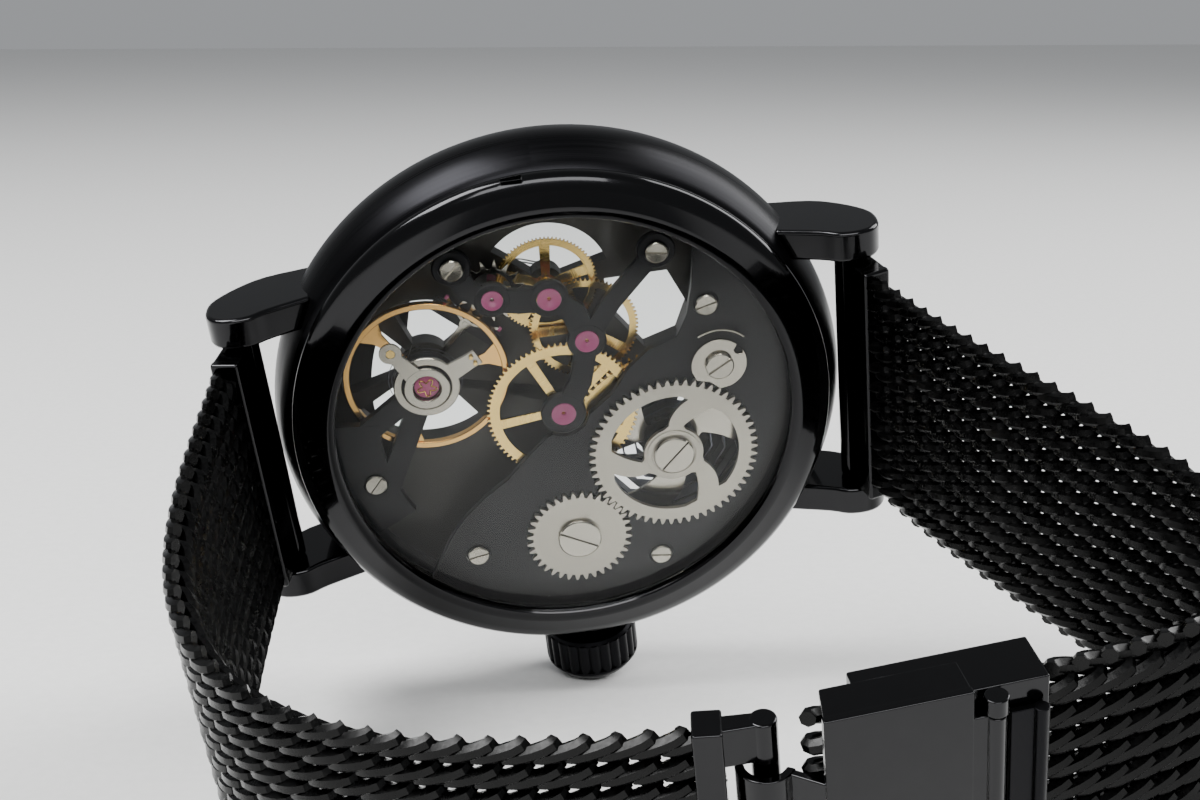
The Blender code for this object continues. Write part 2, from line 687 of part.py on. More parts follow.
def make_balance_cock(watch):
    low, high = COCK_LEVEL
    cock = put("balance_cock", rod(2.35, low, high, 28), BRIDGE_BLACK, watch, (*BALANCE, 0.0))
    rim = 17.6
    foot = sector(CENTRE, 14.1, rim, 62, 96, 8)
    tools = [put("cock_foot_tool", extruded([foot], low, high), BRIDGE_BLACK, watch)]
    anchors = (
        sector_points(CENTRE, 15.0, math.radians(72), math.radians(72), 1)[0],
        sector_points(CENTRE, 15.2, math.radians(93), math.radians(93), 1)[0],
    )
    for k, anchor in enumerate(anchors):
        tools.append(
            put(
                f"cock_arm_{k}_tool",
                extruded([bar(BALANCE, anchor, 1.0, 0.8)], low, high),
                BRIDGE_BLACK,
                watch,
            )
        )
    combine(cock, tools, "UNION")
    drill(cock, watch, "cock_jewel_seat", BALANCE, 1.05)
    drill(cock, watch, "cock_screw_hole", COCK_SCREW, SCREW_RADIUS * 0.5 + FIT)
    screw("cock_screw", watch, COCK_SCREW, SCREW_RADIUS, low - 0.37, 1.1, 40)

    reg_low, reg_high = REGULATOR_LEVEL
    put("shock_jewel", rod(0.95, reg_low - 0.05, reg_high + 0.1), RUBY, watch, (*BALANCE, 0.0))
    # The regulator's index and the stud carrier are rings round the shock setting, one inside the other.
    index = put("regulator_index", washer(1.85, 2.5, reg_low, reg_high, 28), STEEL, watch, (*BALANCE, 0.0))
    pins = tuple(Vector((-6.35, 5.9)) - Vector(BALANCE))
    start = tuple(Vector(pins).normalized() * 2.2)
    arm = put(
        "index_arm_tool",
        extruded([bar(start, pins, 0.75, 0.5)], reg_low, reg_high),
        STEEL,
        watch,
        (*BALANCE, 0.0),
    )
    combine(index, [arm], "UNION")
    carrier = put("stud_carrier", washer(1.05, 1.75, reg_low, reg_high, 28), STEEL, watch, (*BALANCE, 0.0))
    stud = Vector((-8.0, 12.35)) - Vector(BALANCE)
    riser = extruded([bar(tuple(stud.normalized() * 1.4), tuple(stud), 0.6, 0.8)], reg_low - 0.25, reg_low)
    over = put("stud_arm_tool", riser, STEEL, watch, (*BALANCE, 0.0))
    ring_up = put(
        "stud_ring_tool",
        washer(1.05, 1.75, reg_low - 0.25, reg_low + 0.05, 28),
        STEEL,
        watch,
        (*BALANCE, 0.0),
    )
    combine(carrier, [ring_up, over], "UNION")


def wheel(name, watch, at, outline, level, pinion, pinion_level, hub, spokes, arbor, finish=BRASS):
    """A spoked wheel with its pinion and arbor as one solid, turning about the arbor."""
    rim_inner = min(math.hypot(*p) for p in outline) - 0.55
    gap = 360 / spokes
    half = math.degrees(0.28 / ((hub + rim_inner) / 2))
    windows = [
        sector((0, 0), hub, rim_inner, k * gap + half, (k + 1) * gap - half, 5) for k in range(spokes)
    ]
    made = put(name, extruded([outline, *windows], *level), finish, watch, (*at, 0.0))
    tools = [put(f"{name}_arbor_tool", rod(ARBOR_RADIUS, *arbor, TINY_ROUND), STEEL, watch, (*at, 0.0))]
    if pinion:
        tools.append(
            put(f"{name}_pinion_tool", extruded([pinion], *pinion_level), STEEL, watch, (*at, 0.0))
        )
    combine(made, tools, "UNION")
    return made


def fine_pair(first, second, first_teeth, second_teeth, first_phase=0.0):
    """The outlines of a large wheel with fine teeth and of the pinion that it drives."""
    big, small, module = pitch_radii(first, second, first_teeth, second_teeth)
    wheel_outline = pointed(first_teeth, big, module * 0.75, module * 0.95, first_phase)
    phase = mesh_phase(first, second, second_teeth, first_teeth, first_phase)
    pinion_outline = toothed(second_teeth, small, module * 0.62, module * 1.15, 0.34, 0.12, phase)
    return wheel_outline, pinion_outline


def make_going_train(watch):
    barrel_teeth, centre_pinion = fine_pair(BARREL, CENTRE, BARREL_TEETH, CENTRE_PINION)
    centre_teeth, third_pinion = fine_pair(CENTRE, THIRD, CENTRE_TEETH, THIRD_PINION)
    third_teeth, fourth_pinion = fine_pair(THIRD, FOURTH, THIRD_TEETH, FOURTH_PINION)
    fourth_teeth, escape_pinion = fine_pair(FOURTH, ESCAPE, FOURTH_TEETH, ESCAPE_PINION)
    pivot = (BRIDGE_LEVEL[0] + 0.4, PLATE_LEVEL[0] + 0.4)

    centre_arbor = (BRIDGE_LEVEL[0] + 0.4, MINUTE_HAND_LEVEL[0] - FIT)
    wheel(
        "centre_wheel",
        watch,
        CENTRE,
        centre_teeth,
        CENTRE_WHEEL_LEVEL,
        centre_pinion,
        (2.8, 3.6),
        1.5,
        5,
        centre_arbor,
    )
    wheel(
        "third_wheel",
        watch,
        THIRD,
        third_teeth,
        THIRD_WHEEL_LEVEL,
        third_pinion,
        (2.66, 3.1),
        0.95,
        5,
        pivot,
    )
    fourth_arbor = (pivot[0], SECONDS_HAND_LEVEL[0] - FIT)
    wheel(
        "fourth_wheel",
        watch,
        FOURTH,
        fourth_teeth,
        FOURTH_WHEEL_LEVEL,
        fourth_pinion,
        (4.15, 4.58),
        0.85,
        5,
        fourth_arbor,
    )

    low, high = BARREL_TEETH_LEVEL
    drum_radius, wall = 7.5, 0.35
    floor = low + 0.4
    barrel = put(
        "barrel",
        extruded([barrel_teeth, circle((0, 0), 6.9, ROUND)], low, high),
        BRASS,
        watch,
        (*BARREL, 0.0),
    )
    drum = [
        (1.15, high - 0.15),
        (drum_radius, high - 0.15),
        (drum_radius, BARREL_DRUM_END),
        (drum_radius - wall, BARREL_DRUM_END),
        (drum_radius - wall, floor + 0.1),
        (1.15, floor + 0.1),
    ]
    combine(barrel, [put("barrel_drum_tool", turned(drum, ROUND), STEEL, watch, (*BARREL, 0.0))], "UNION")
    for k in range(3):
        opening = extruded(
            [sector((0, 0), 2.2, 6.3, 120 * k + 14, 120 * k + 104, 7)], low - 1.0, floor + 0.6
        )
        combine(
            barrel, [put(f"barrel_window_{k}_tool", opening, STEEL, watch, (*BARREL, 0.0))], "DIFFERENCE"
        )
    spring_turns, spring_points = 4, 10
    inner, outer = 2.6, drum_radius - wall - 0.25
    put(
        "mainspring",
        coil(inner, outer, spring_turns, spring_points, 0.12, floor + 0.2, BARREL_DRUM_END - 0.1),
        BLUE_STEEL,
        watch,
        (*BARREL, 0.0),
    )
    arbor = [
        (0.0, WINDING_LEVEL[1] + FIT),
        (0.95, WINDING_LEVEL[1] + FIT),
        (0.95, floor + 0.2),
        (1.9, floor + 0.2),
        (1.9, BARREL_DRUM_END - 0.1),
        (0.95, BARREL_DRUM_END - 0.1),
        (0.95, PLATE_LEVEL[1] - 0.2),
        (0.0, PLATE_LEVEL[1] - 0.2),
    ]
    put("barrel_arbor", turned(arbor, SMALL_ROUND, ring=False), STEEL, watch, (*BARREL, 0.0))
    make_escapement(watch, escape_pinion, pivot)


def coil(inner, outer, turns, per_turn, width, low, high):
    """A flat spiral strip, its section a rectangle."""
    bm = bmesh.new()
    count = turns * per_turn + 1
    loops = []
    for k in range(count):
        share = k / (count - 1)
        angle = math.tau * turns * share
        middle = inner + (outer - inner) * share
        corners = (
            (middle - width / 2, low),
            (middle + width / 2, low),
            (middle + width / 2, high),
            (middle - width / 2, high),
        )
        loops.append([bm.verts.new((r * math.cos(angle), r * math.sin(angle), z)) for r, z in corners])
    for first, second in zip(loops, loops[1:]):
        for i in range(4):
            bm.faces.new((first[i], first[(i + 1) % 4], second[(i + 1) % 4], second[i]))
    bm.faces.new(loops[0])
    bm.faces.new(loops[-1])
    return bm


def make_escapement(watch, escape_pinion, pivot):
    low, high = ESCAPE_LEVEL
    step = math.tau / ESCAPE_TEETH
    outline = []
    for k in range(ESCAPE_TEETH):
        for radius, share in (
            (ESCAPE_RADIUS, 0.0),
            (ESCAPE_RADIUS, 0.1),
            (ESCAPE_RADIUS - 0.75, 0.42),
            (ESCAPE_RADIUS - 0.7, 0.86),
        ):
            angle = (k + share) * step
            outline.append((radius * math.cos(angle), radius * math.sin(angle)))
    wheel(
        "escape_wheel",
        watch,
        ESCAPE,
        outline,
        ESCAPE_LEVEL,
        escape_pinion,
        (4.56, 4.84),
        0.6,
        4,
        pivot,
        STEEL,
    )

    at = pallet_pivot()
    heading = math.atan2(BALANCE[1] - at[1], BALANCE[0] - at[0])
    reach = math.dist(at, BALANCE) - 1.15
    fork = put("pallet_fork", rod(0.42, low, high, TINY_ROUND), STEEL, watch, (*at, 0.0))
    back = ESCAPE_RADIUS * PALLET_DISTANCE * 0.5
    shapes = [
        bar((0.0, 0.0), (reach - 0.5, 0.0), 0.16, 0.28),
        bar((reach - 0.55, -0.42), (reach - 0.55, 0.42), 0.16),
    ]
    shapes += [bar((reach - 0.6, side * 0.34), (reach, side * 0.34), 0.1) for side in (-1, 1)]
    stone_y = ESCAPE_RADIUS * 0.95
    shapes += [bar((0.0, 0.0), (-back + 0.6, side * stone_y), 0.14) for side in (-1, 1)]
    tools = []
    for k, outline in enumerate(shapes):
        piece = extruded([outline], low, high)
        bmesh.ops.rotate(piece, verts=piece.verts, cent=(0, 0, 0), matrix=Matrix.Rotation(heading, 3, "Z"))
        tools.append(put(f"fork_{k}_tool", piece, STEEL, watch, (*at, 0.0)))
    tools.append(
        put(
            "fork_arbor_tool",
            rod(0.2, low - 0.05, PLATE_LEVEL[0] + 0.3, TINY_ROUND),
            STEEL,
            watch,
            (*at, 0.0),
        )
    )
    combine(fork, tools, "UNION")
    bridge_low, bridge_high = high + 0.08, high + 0.5
    side = Vector((-math.sin(heading), math.cos(heading)))
    first, second = Vector(at) + side * 2.9, Vector(at) - side * 2.9
    pallet_bridge = put(
        "pallet_bridge",
        extruded([bar(tuple(first), tuple(second), 0.55)], bridge_low, bridge_high),
        BRIDGE_BLACK,
        watch,
    )
    drill(pallet_bridge, watch, "pallet_bridge_hole", at, 0.2 + PIVOT_GAP)

    rim_low, rim_high = BALANCE_LEVEL
    balance = put(
        "balance_wheel",
        washer(BALANCE_RADIUS - BALANCE_RIM, BALANCE_RADIUS, rim_low, rim_high, ROUND),
        GOLD,
        watch,
        (*BALANCE, 0.0),
    )
    arm_low, arm_high = rim_low + 0.15, rim_high - 0.15
    parts = [
        put(
            "staff_tool",
            rod(ARBOR_RADIUS, REGULATOR_LEVEL[1] + 0.2, PLATE_LEVEL[0] + 0.4, TINY_ROUND),
            STEEL,
            watch,
            (*BALANCE, 0.0),
        )
    ]
    parts.append(
        put("balance_hub_tool", rod(0.8, arm_low, arm_high, TINY_ROUND), GOLD, watch, (*BALANCE, 0.0))
    )
    for k in range(4):
        angle = math.radians(90 * k + 35)
        tip = (math.cos(angle) * (BALANCE_RADIUS - 0.3), math.sin(angle) * (BALANCE_RADIUS - 0.3))
        arm = extruded([bar((0.0, 0.0), tip, 0.7, 0.22)], arm_low, arm_high)
        parts.append(put(f"balance_arm_{k}_tool", arm, GOLD, watch, (*BALANCE, 0.0)))
    combine(balance, parts, "UNION")
    put("hairspring", coil(0.9, 2.9, 5, 10, 0.05, *HAIRSPRING_LEVEL), BLUE_STEEL, watch, (*BALANCE, 0.0))


def make_winding_works(watch):
    low, high = WINDING_LEVEL
    ratchet_radius, crown_radius, module = pitch_radii(
        BARREL, CROWN_WHEEL, RATCHET_TEETH, CROWN_WHEEL_TEETH
    )
    ratchet_outline = pointed(RATCHET_TEETH, ratchet_radius, module * 1.1, module * 1.3)
    phase = mesh_phase(BARREL, CROWN_WHEEL, CROWN_WHEEL_TEETH, RATCHET_TEETH)
    crown_outline = pointed(CROWN_WHEEL_TEETH, crown_radius, module * 1.1, module * 1.3, phase)
    windows = [sector((0, 0), 2.25, 5.1, 120 * k + 62, 120 * k + 158, 9) for k in range(3)]
    put(
        "ratchet_wheel",
        extruded([ratchet_outline, *windows, circle((0, 0), 0.8)], low, high),
        STEEL,
        watch,
        (*BARREL, 0.0),
    )
    screw("ratchet_screw", watch, BARREL, 1.6, low - 0.05 - 0.32, 0.33, 45)
    put(
        "crown_wheel",
        extruded([crown_outline, circle((0, 0), 1.0)], low, high),
        STEEL,
        watch,
        (*CROWN_WHEEL, 0.0),
    )
    screw("crown_wheel_screw", watch, CROWN_WHEEL, 1.75, low - 0.05 - 0.32, 0.95, 120)

    ratchet_heading = math.atan2(BARREL[1] - CLICK[1], BARREL[0] - CLICK[0])
    nose = math.dist(CLICK, BARREL) - (ratchet_radius + module * 1.1) - 0.12
    fan = [(nose * math.cos(ratchet_heading), nose * math.sin(ratchet_heading))]
    fan += sector_points((0, 0), 2.15, ratchet_heading + 0.85, ratchet_heading + 4.9, 14)
    put("click", extruded([fan, circle((0, 0), 0.62, TINY_ROUND)], low, high), STEEL, watch, (*CLICK, 0.0))
    screw("click_screw", watch, CLICK, 1.1, low - 0.05 - 0.32, 0.95, 60)
    points = sector_points(CLICK, 3.0, math.radians(150), math.radians(225), 7)
    spring = points + sector_points(CLICK, 2.82, math.radians(225), math.radians(150), 7)
    put("click_spring", extruded([spring], low, high), STEEL, watch)


def make_motion_works(watch):
    plate = PLATE_LEVEL[1]
    cannon_bore = ARBOR_RADIUS + FIT
    cannon_low = plate + 0.12
    cannon = put(
        "cannon_pinion",
        washer(cannon_bore, 0.62, cannon_low, MINUTE_HAND_LEVEL[0] - 0.1, TINY_ROUND),
        STEEL,
        watch,
        (*CENTRE, 0.0),
    )
    at = minute_wheel_centre()
    first, second, module = pitch_radii(CENTRE, at, CANNON_TEETH, MINUTE_WHEEL_TEETH)
    leaves = toothed(CANNON_TEETH, first, module * 0.62, module * 1.15, 0.34, 0.12)
    combine(
        cannon,
        [
            put(
                "cannon_leaves_tool",
                extruded(
                    [leaves, circle((0, 0), cannon_bore + FIT, TINY_ROUND)], cannon_low, cannon_low + 0.35
                ),
                STEEL,
                watch,
                (*CENTRE, 0.0),
            )
        ],
        "UNION",
    )
    phase = mesh_phase(CENTRE, at, MINUTE_WHEEL_TEETH, CANNON_TEETH)
    minute_teeth = pointed(MINUTE_WHEEL_TEETH, second, module * 0.75, module * 0.95, phase)
    pinion_radius, hour_radius, fine = pitch_radii(at, CENTRE, MINUTE_PINION, HOUR_TEETH)
    pinion = toothed(MINUTE_PINION, pinion_radius, fine * 0.62, fine * 1.15, 0.34, 0.12)
    wheel_low = cannon_low + 0.08
    made = put(
        "minute_wheel", extruded([minute_teeth], wheel_low, wheel_low + 0.16), STEEL, watch, (*at, 0.0)
    )
    tools = [
        put(
            "minute_pinion_tool",
            extruded([pinion], wheel_low + 0.05, wheel_low + 0.6),
            STEEL,
            watch,
            (*at, 0.0),
        )
    ]
    tools.append(
        put(
            "minute_post_tool",
            rod(0.25, plate - 0.5, wheel_low + 0.1, TINY_ROUND),
            STEEL,
            watch,
            (*at, 0.0),
        )
    )
    combine(made, tools, "UNION")
    hour_phase = mesh_phase(at, CENTRE, HOUR_TEETH, MINUTE_PINION)
    hour_teeth = pointed(HOUR_TEETH, hour_radius, fine * 0.75, fine * 0.95, hour_phase)
    hour_low = cannon_low + 0.46
    bore = 0.62 + PIVOT_GAP
    hour = put(
        "hour_wheel",
        extruded([hour_teeth, circle((0, 0), bore + FIT, TINY_ROUND)], hour_low, hour_low + 0.16),
        BRASS,
        watch,
        (*CENTRE, 0.0),
    )
    pipe = put(
        "hour_pipe_tool",
        washer(bore, 0.95, hour_low, HOUR_HAND_LEVEL[0] - FIT, TINY_ROUND),
        BRASS,
        watch,
        (*CENTRE, 0.0),
    )
    combine(hour, [pipe], "UNION")


def hand(name, watch, at, level, length, tail, half_width, hub, bore, heading_deg, finish):
    """A tapered hand with a round hub."""
    made = put(name, washer(bore, hub, *level, TINY_ROUND), finish, watch, (*at, 0.0))
    outline = [
        (-tail, 0.0),
        (-hub * 0.5, -half_width),
        (length * 0.55, -half_width * 1.2),
        (length, 0.0),
        (length * 0.55, half_width * 1.2),
        (-hub * 0.5, half_width),
    ]
    blade = extruded([outline], *level)
    bmesh.ops.rotate(
        blade, verts=blade.verts, cent=(0, 0, 0), matrix=Matrix.Rotation(math.radians(heading_deg), 3, "Z")
    )
    combine(made, [put(f"{name}_blade_tool", blade, finish, watch, (*at, 0.0))], "UNION")
    if bore:
        combine(
            made,
            [
                put(
                    f"{name}_bore_tool",
                    rod(bore, level[0] - 1.0, level[1] + 1.0, TINY_ROUND),
                    finish,
                    watch,
                    (*at, 0.0),
                )
            ],
            "DIFFERENCE",
        )


def make_hands(watch):
    hand("hour_hand", watch, CENTRE, HOUR_HAND_LEVEL, 8.4, 2.0, 0.55, 1.4, 0.62 + PIVOT_GAP, 40, STEEL)
    hand("minute_hand", watch, CENTRE, MINUTE_HAND_LEVEL, 13.6, 2.4, 0.45, 1.15, 0.16, -62, STEEL)
    hand("seconds_hand", watch, FOURTH, SECONDS_HAND_LEVEL, 2.9, 1.0, 0.13, 0.4, 0.1, 110, STEEL)


# Strap and clasp. Points are (y, z) in the plane of the loop.

# Each half is one curve from its lug to the clasp. It leaves the lug leaning outwards from the wrist, and
# meets the clasp at the clasp's own tilt. A reach is how strongly that end of the curve holds its heading.
STRAP_START = (BAR_Y + 1.25, BAR_Z - 4.4)
STRAP_12_LEAN = 6.0
STRAP_12_LUG_REACH = 21.0
STRAP_12_CLASP_REACH = 34.0
STRAP_12_END = (-2.8, -46.0)
STRAP_6_LEAN = 16.0
STRAP_6_LUG_REACH = 24.0
STRAP_6_CLASP_REACH = 29.0
STRAP_12_STEPS = 26
STRAP_6_STEPS = 24
CLASP_START = (-21.6, -45.6)
CLASP_LENGTH = 11.4
CLASP_TILT = 4.0
CLASP_WALL = 0.6
COVER_WALL = 0.55
COVER_LENGTH = 9.1
HINGE_ALONG = 3.5
WALL_ALONG = 4.7
KNUCKLE_RADIUS = 0.55
STUD_RADIUS = 0.25
EAR_WIDTH = 1.1
HOOK_GAP = 0.38
HOOK_BAR = (-6.6, -46.3)
HOOK_BAR_RADIUS = 0.75


def strap_curve(side, lean, lug_reach, end, clasp_reach, steps):
    """The middle of half the strap, as a cubic curve. side is 1 at 12 o'clock and -1 at 6 o'clock."""
    lean = math.radians(lean)
    tilt = math.radians(CLASP_TILT)
    start = np.array((side * STRAP_START[0], STRAP_START[1]))
    end = np.array(end)
    leaving = start + lug_reach * np.array((side * math.sin(lean), -math.cos(lean)))
    arriving = end + clasp_reach * np.array((side * math.cos(tilt), math.sin(tilt)))
    return [
        (1 - t) ** 3 * start + 3 * t * (1 - t) ** 2 * leaving + 3 * t**2 * (1 - t) * arriving + t**3 * end
        for t in np.linspace(0.0, 1.0, steps + 1)
    ]


def strap_12_curve():
    return strap_curve(
        1, STRAP_12_LEAN, STRAP_12_LUG_REACH, STRAP_12_END, STRAP_12_CLASP_REACH, STRAP_12_STEPS
    )


def strap_6_curve():
    return strap_curve(-1, STRAP_6_LEAN, STRAP_6_LUG_REACH, CLASP_START, STRAP_6_CLASP_REACH, STRAP_6_STEPS)


def band(path, width, thickness):
    """A flat band of even thickness along a path in the loop's plane."""
    bm = bmesh.new()
    path = [np.array(p) for p in path]
    loops = []
    for k, point in enumerate(path):
        heading = path[min(k + 1, len(path) - 1)] - path[max(k - 1, 0)]
        side = np.array((-heading[1], heading[0])) / np.hypot(*heading) * thickness / 2
        corners = (
            (-width / 2, point + side),
            (width / 2, point + side),
            (width / 2, point - side),
            (-width / 2, point - side),
        )
        loops.append([bm.verts.new((x, q[0], q[1])) for x, q in corners])
    for first, second in zip(loops, loops[1:]):
        for i in range(4):
            bm.faces.new((first[i], first[(i + 1) % 4], second[(i + 1) % 4], second[i]))
    bm.faces.new(loops[0])
    bm.faces.new(loops[-1])
    return bm


def along(start, end, distance, offset=0.0):
    """A point at a distance from start towards end, moved sideways away from the wrist."""
    a, b = np.array(start), np.array(end)
    heading = (b - a) / np.hypot(*(b - a))
    outward = np.array((heading[1], -heading[0]))
    return a + heading * distance + outward * offset


def clasp_point(distance, offset=0.0):
    """A point along the clasp from its 6 o'clock end, moved away from the wrist."""
    tilt = math.radians(CLASP_TILT)
    heading = np.array((math.cos(tilt), -math.sin(tilt)))
    outward = np.array((heading[1], -heading[0]))
    return np.array(CLASP_START) + heading * distance + outward * offset


def ring_point(centre, radius, angle):
    return (centre[0] + radius * math.cos(angle), centre[1] + radius * math.sin(angle))


def make_strap_end(watch, name, bar_at, path):
    """The tube on the spring bar, with the folded clamp that grips the mesh."""
    reach = np.hypot(*(np.array(path[0]) - np.array(bar_at)))
    width = STRAP_WIDTH
    tube = along_x(rod(TUBE_RADIUS, -width / 2, width / 2, SMALL_ROUND))
    end = put(name, tube, BLACK, watch, (0.0, bar_at[0], bar_at[1]))
    clamp_start = along(bar_at, path[0], TUBE_RADIUS * 0.5)
    clamp_end = along(bar_at, path[0], reach - CLAMP_GAP)
    clamp = band([clamp_start, clamp_end], width, STRAP_THICKNESS + 0.2)
    combine(end, [put(f"{name}_clamp_tool", clamp, BLACK, watch)], "UNION")
    bore = along_x(rod(BAR_RADIUS + FIT, -width / 2 - 1.0, width / 2 + 1.0, TINY_ROUND))
    combine(end, [put(f"{name}_bore_tool", bore, BLACK, watch, (0.0, bar_at[0], bar_at[1]))], "DIFFERENCE")


def bar_axis(side):
    """The spring bar's axis, on which that half of the strap swings."""
    return (0.0, side * BAR_Y, BAR_Z)


def make_straps(watch):
    path_12, path_6 = strap_12_curve(), strap_6_curve()
    for name, side, path in (("12", 1, path_12), ("6", -1, path_6)):
        bar_at = (side * BAR_Y, BAR_Z)
        thin = BAR_RADIUS - 0.2
        half = LUG_GAP / 2
        shape = [
            (0.0, -half - 1.0),
            (thin, -half - 1.0),
            (thin, -half + 0.3),
            (BAR_RADIUS, -half + 0.3),
            (BAR_RADIUS, half - 0.3),
            (thin, half - 0.3),
            (thin, half + 1.0),
            (0.0, half + 1.0),
        ]
        put(
            f"spring_bar_{name}",
            along_x(turned(shape, TINY_ROUND, ring=False)),
            STEEL,
            watch,
            (0.0, *bar_at),
        )
        make_strap_end(watch, f"strap_end_{name}", bar_at, path)
    put_about("strap_12", band(path_12, STRAP_WIDTH, STRAP_THICKNESS), SATIN_BLACK, watch, bar_axis(1))
    path_6.append(clasp_point(CLASP_LENGTH))
    put_about("strap_6", band(path_6, STRAP_WIDTH, STRAP_THICKNESS), SATIN_BLACK, watch, bar_axis(-1))


def make_clasp(watch):
    half_width = STRAP_WIDTH / 2
    length = CLASP_LENGTH
    half = STRAP_THICKNESS / 2 + STRAP_GAP
    slider_half = half_width + STRAP_GAP + CLASP_WALL
    outside = half + CLASP_WALL
    hinge_at = clasp_point(HINGE_ALONG, outside + KNUCKLE_RADIUS + FIT)
    knuckle_end = slider_half - EAR_WIDTH - STRAP_GAP

    # The slider is a box round the strap with two ears that carry the cover's knuckle.
    slider_ends = [clasp_point(0.4), clasp_point(length - 1.2)]
    slider_body = band(slider_ends, 2 * slider_half, 2 * outside)
    slider = put_about("clasp_slider", slider_body, BLACK, watch, bar_axis(-1))
    hollow = band([clasp_point(-1.0), clasp_point(length + 1.0)], 2 * (half_width + STRAP_GAP), 2 * half)
    combine(slider, [put("clasp_hollow_tool", hollow, BLACK, watch)], "DIFFERENCE")
    additions = []
    for side in (-1, 1):
        low, high = sorted((side * (slider_half - EAR_WIDTH), side * (slider_half - 0.03)))
        ear = along_x(rod(KNUCKLE_RADIUS + 0.1, low, high, TINY_ROUND))
        additions.append(put(f"clasp_ear_{side}_tool", ear, BLACK, watch, (0.0, *hinge_at)))
        low, high = sorted((side * (knuckle_end - 1.2), side * (slider_half - EAR_WIDTH / 2)))
        stud = along_x(rod(STUD_RADIUS, low, high, TINY_ROUND))
        additions.append(put(f"clasp_stud_{side}_tool", stud, STEEL, watch, (0.0, *hinge_at)))
    combine(slider, additions, "UNION")

    # The cover turns on the ears' studs. Its far end is rolled into a hook that catches the bar.
    middle = outside + FIT + COVER_WALL / 2 + 0.2
    cover_end = HINGE_ALONG + COVER_LENGTH
    plate = band(
        [clasp_point(HINGE_ALONG + 0.1, middle), clasp_point(cover_end, middle)],
        2 * knuckle_end,
        COVER_WALL,
    )
    cover = put_about("clasp_cover", plate, BLACK, watch, (0.0, *hinge_at))
    side_inner = slider_half + FIT
    side_outer = side_inner + COVER_WALL
    wide = band(
        [clasp_point(WALL_ALONG, middle), clasp_point(cover_end - 0.04, middle)],
        2 * side_outer,
        COVER_WALL - 0.04,
    )
    tools = [put("cover_top_tool", wide, BLACK, watch)]
    tools.append(
        put(
            "cover_knuckle_tool",
            along_x(rod(KNUCKLE_RADIUS, -knuckle_end + 0.02, knuckle_end - 0.02, SMALL_ROUND)),
            BLACK,
            watch,
            (0.0, *hinge_at),
        )
    )
    for side in (-1, 1):
        low, high = sorted((side * side_inner, side * (side_outer - 0.04)))
        wall_top, wall_foot = middle, middle - 2.3
        corners = [
            tuple(clasp_point(WALL_ALONG + 0.05, wall_top)),
            tuple(clasp_point(cover_end - 0.1, wall_top)),
            tuple(clasp_point(cover_end - 0.5, wall_foot)),
            tuple(clasp_point(WALL_ALONG + 0.05, wall_foot)),
        ]
        tools.append(put(f"cover_side_{side}_tool", along_x(extruded([corners], low, high)), BLACK, watch))
    inner_radius = HOOK_BAR_RADIUS + HOOK_GAP
    turn = np.linspace(math.radians(-150), math.radians(5), 7)
    outer = [ring_point(HOOK_BAR, inner_radius + COVER_WALL, a) for a in turn]
    inner = [ring_point(HOOK_BAR, inner_radius, a) for a in turn[::-1]]
    lip = half_width - 3.0
    tools.append(put("cover_hook_tool", along_x(extruded([outer + inner], -lip, lip)), BLACK, watch))
    bridge = [
        clasp_point(cover_end - 0.4, middle),
        ring_point(HOOK_BAR, inner_radius + COVER_WALL / 2, turn[0] + 0.2),
    ]
    tools.append(put("cover_bridge_tool", band(bridge, 2 * lip - 0.1, COVER_WALL - 0.06), BLACK, watch))
    combine(cover, tools, "UNION")
    socket = along_x(rod(STUD_RADIUS + FIT, -slider_half, slider_half, TINY_ROUND))
    combine(cover, [put("cover_socket_tool", socket, BLACK, watch, (0.0, *hinge_at))], "DIFFERENCE")

    # The lock lever lies on the slider's outside, behind the cover, and turns about its own round edge.
    lever_at = clasp_point(1.0, outside + 0.47)
    lever_half = knuckle_end - 0.2
    lever = put(
        "clasp_lock_lever",
        along_x(rod(0.42, -lever_half, lever_half, TINY_ROUND)),
        BLACK,
        watch,
        (0.0, *lever_at),
    )
    leaf_end = HINGE_ALONG - KNUCKLE_RADIUS - 0.3
    leaf = band(
        [clasp_point(1.0, outside + 0.3), clasp_point(leaf_end, outside + 0.3)], 2 * lever_half - 0.1, 0.4
    )
    combine(lever, [put("lever_leaf_tool", leaf, BLACK, watch)], "UNION")

    # The bar that the hook catches, at the end of the 12 o'clock half.
    path_12 = strap_12_curve()
    last = path_12[-1] - path_12[-2]
    grip_start = path_12[-1] + last / np.hypot(*last) * STRAP_GAP
    hook_y, hook_z = HOOK_BAR
    grip_end = np.array((hook_y + 2.1, hook_z + 0.07))
    grip_body = band([grip_start, grip_end], STRAP_WIDTH, STRAP_THICKNESS + 0.2)
    grip = put_about("strap_12_bar", grip_body, BLACK, watch, bar_axis(1))
    bar_rod = along_x(rod(HOOK_BAR_RADIUS, -half_width + 0.03, half_width - 0.03, SMALL_ROUND))
    bar_tools = [put("hook_bar_tool", bar_rod, BLACK, watch, (0.0, *HOOK_BAR))]
    for side in (-1, 1):
        low, high = sorted((side * (lip + 0.4), side * (half_width - 0.06)))
        ear_outline = [
            (grip_end[0] + 0.3, grip_end[1] - 0.65),
            (grip_end[0] + 0.3, grip_end[1] + 0.65),
            (hook_y - 0.1, hook_z + 0.55),
            (hook_y - 0.1, hook_z - 0.55),
        ]
        bar_tools.append(
            put(f"bar_ear_{side}_tool", along_x(extruded([ear_outline], low, high)), BLACK, watch)
        )
    combine(grip, bar_tools, "UNION")


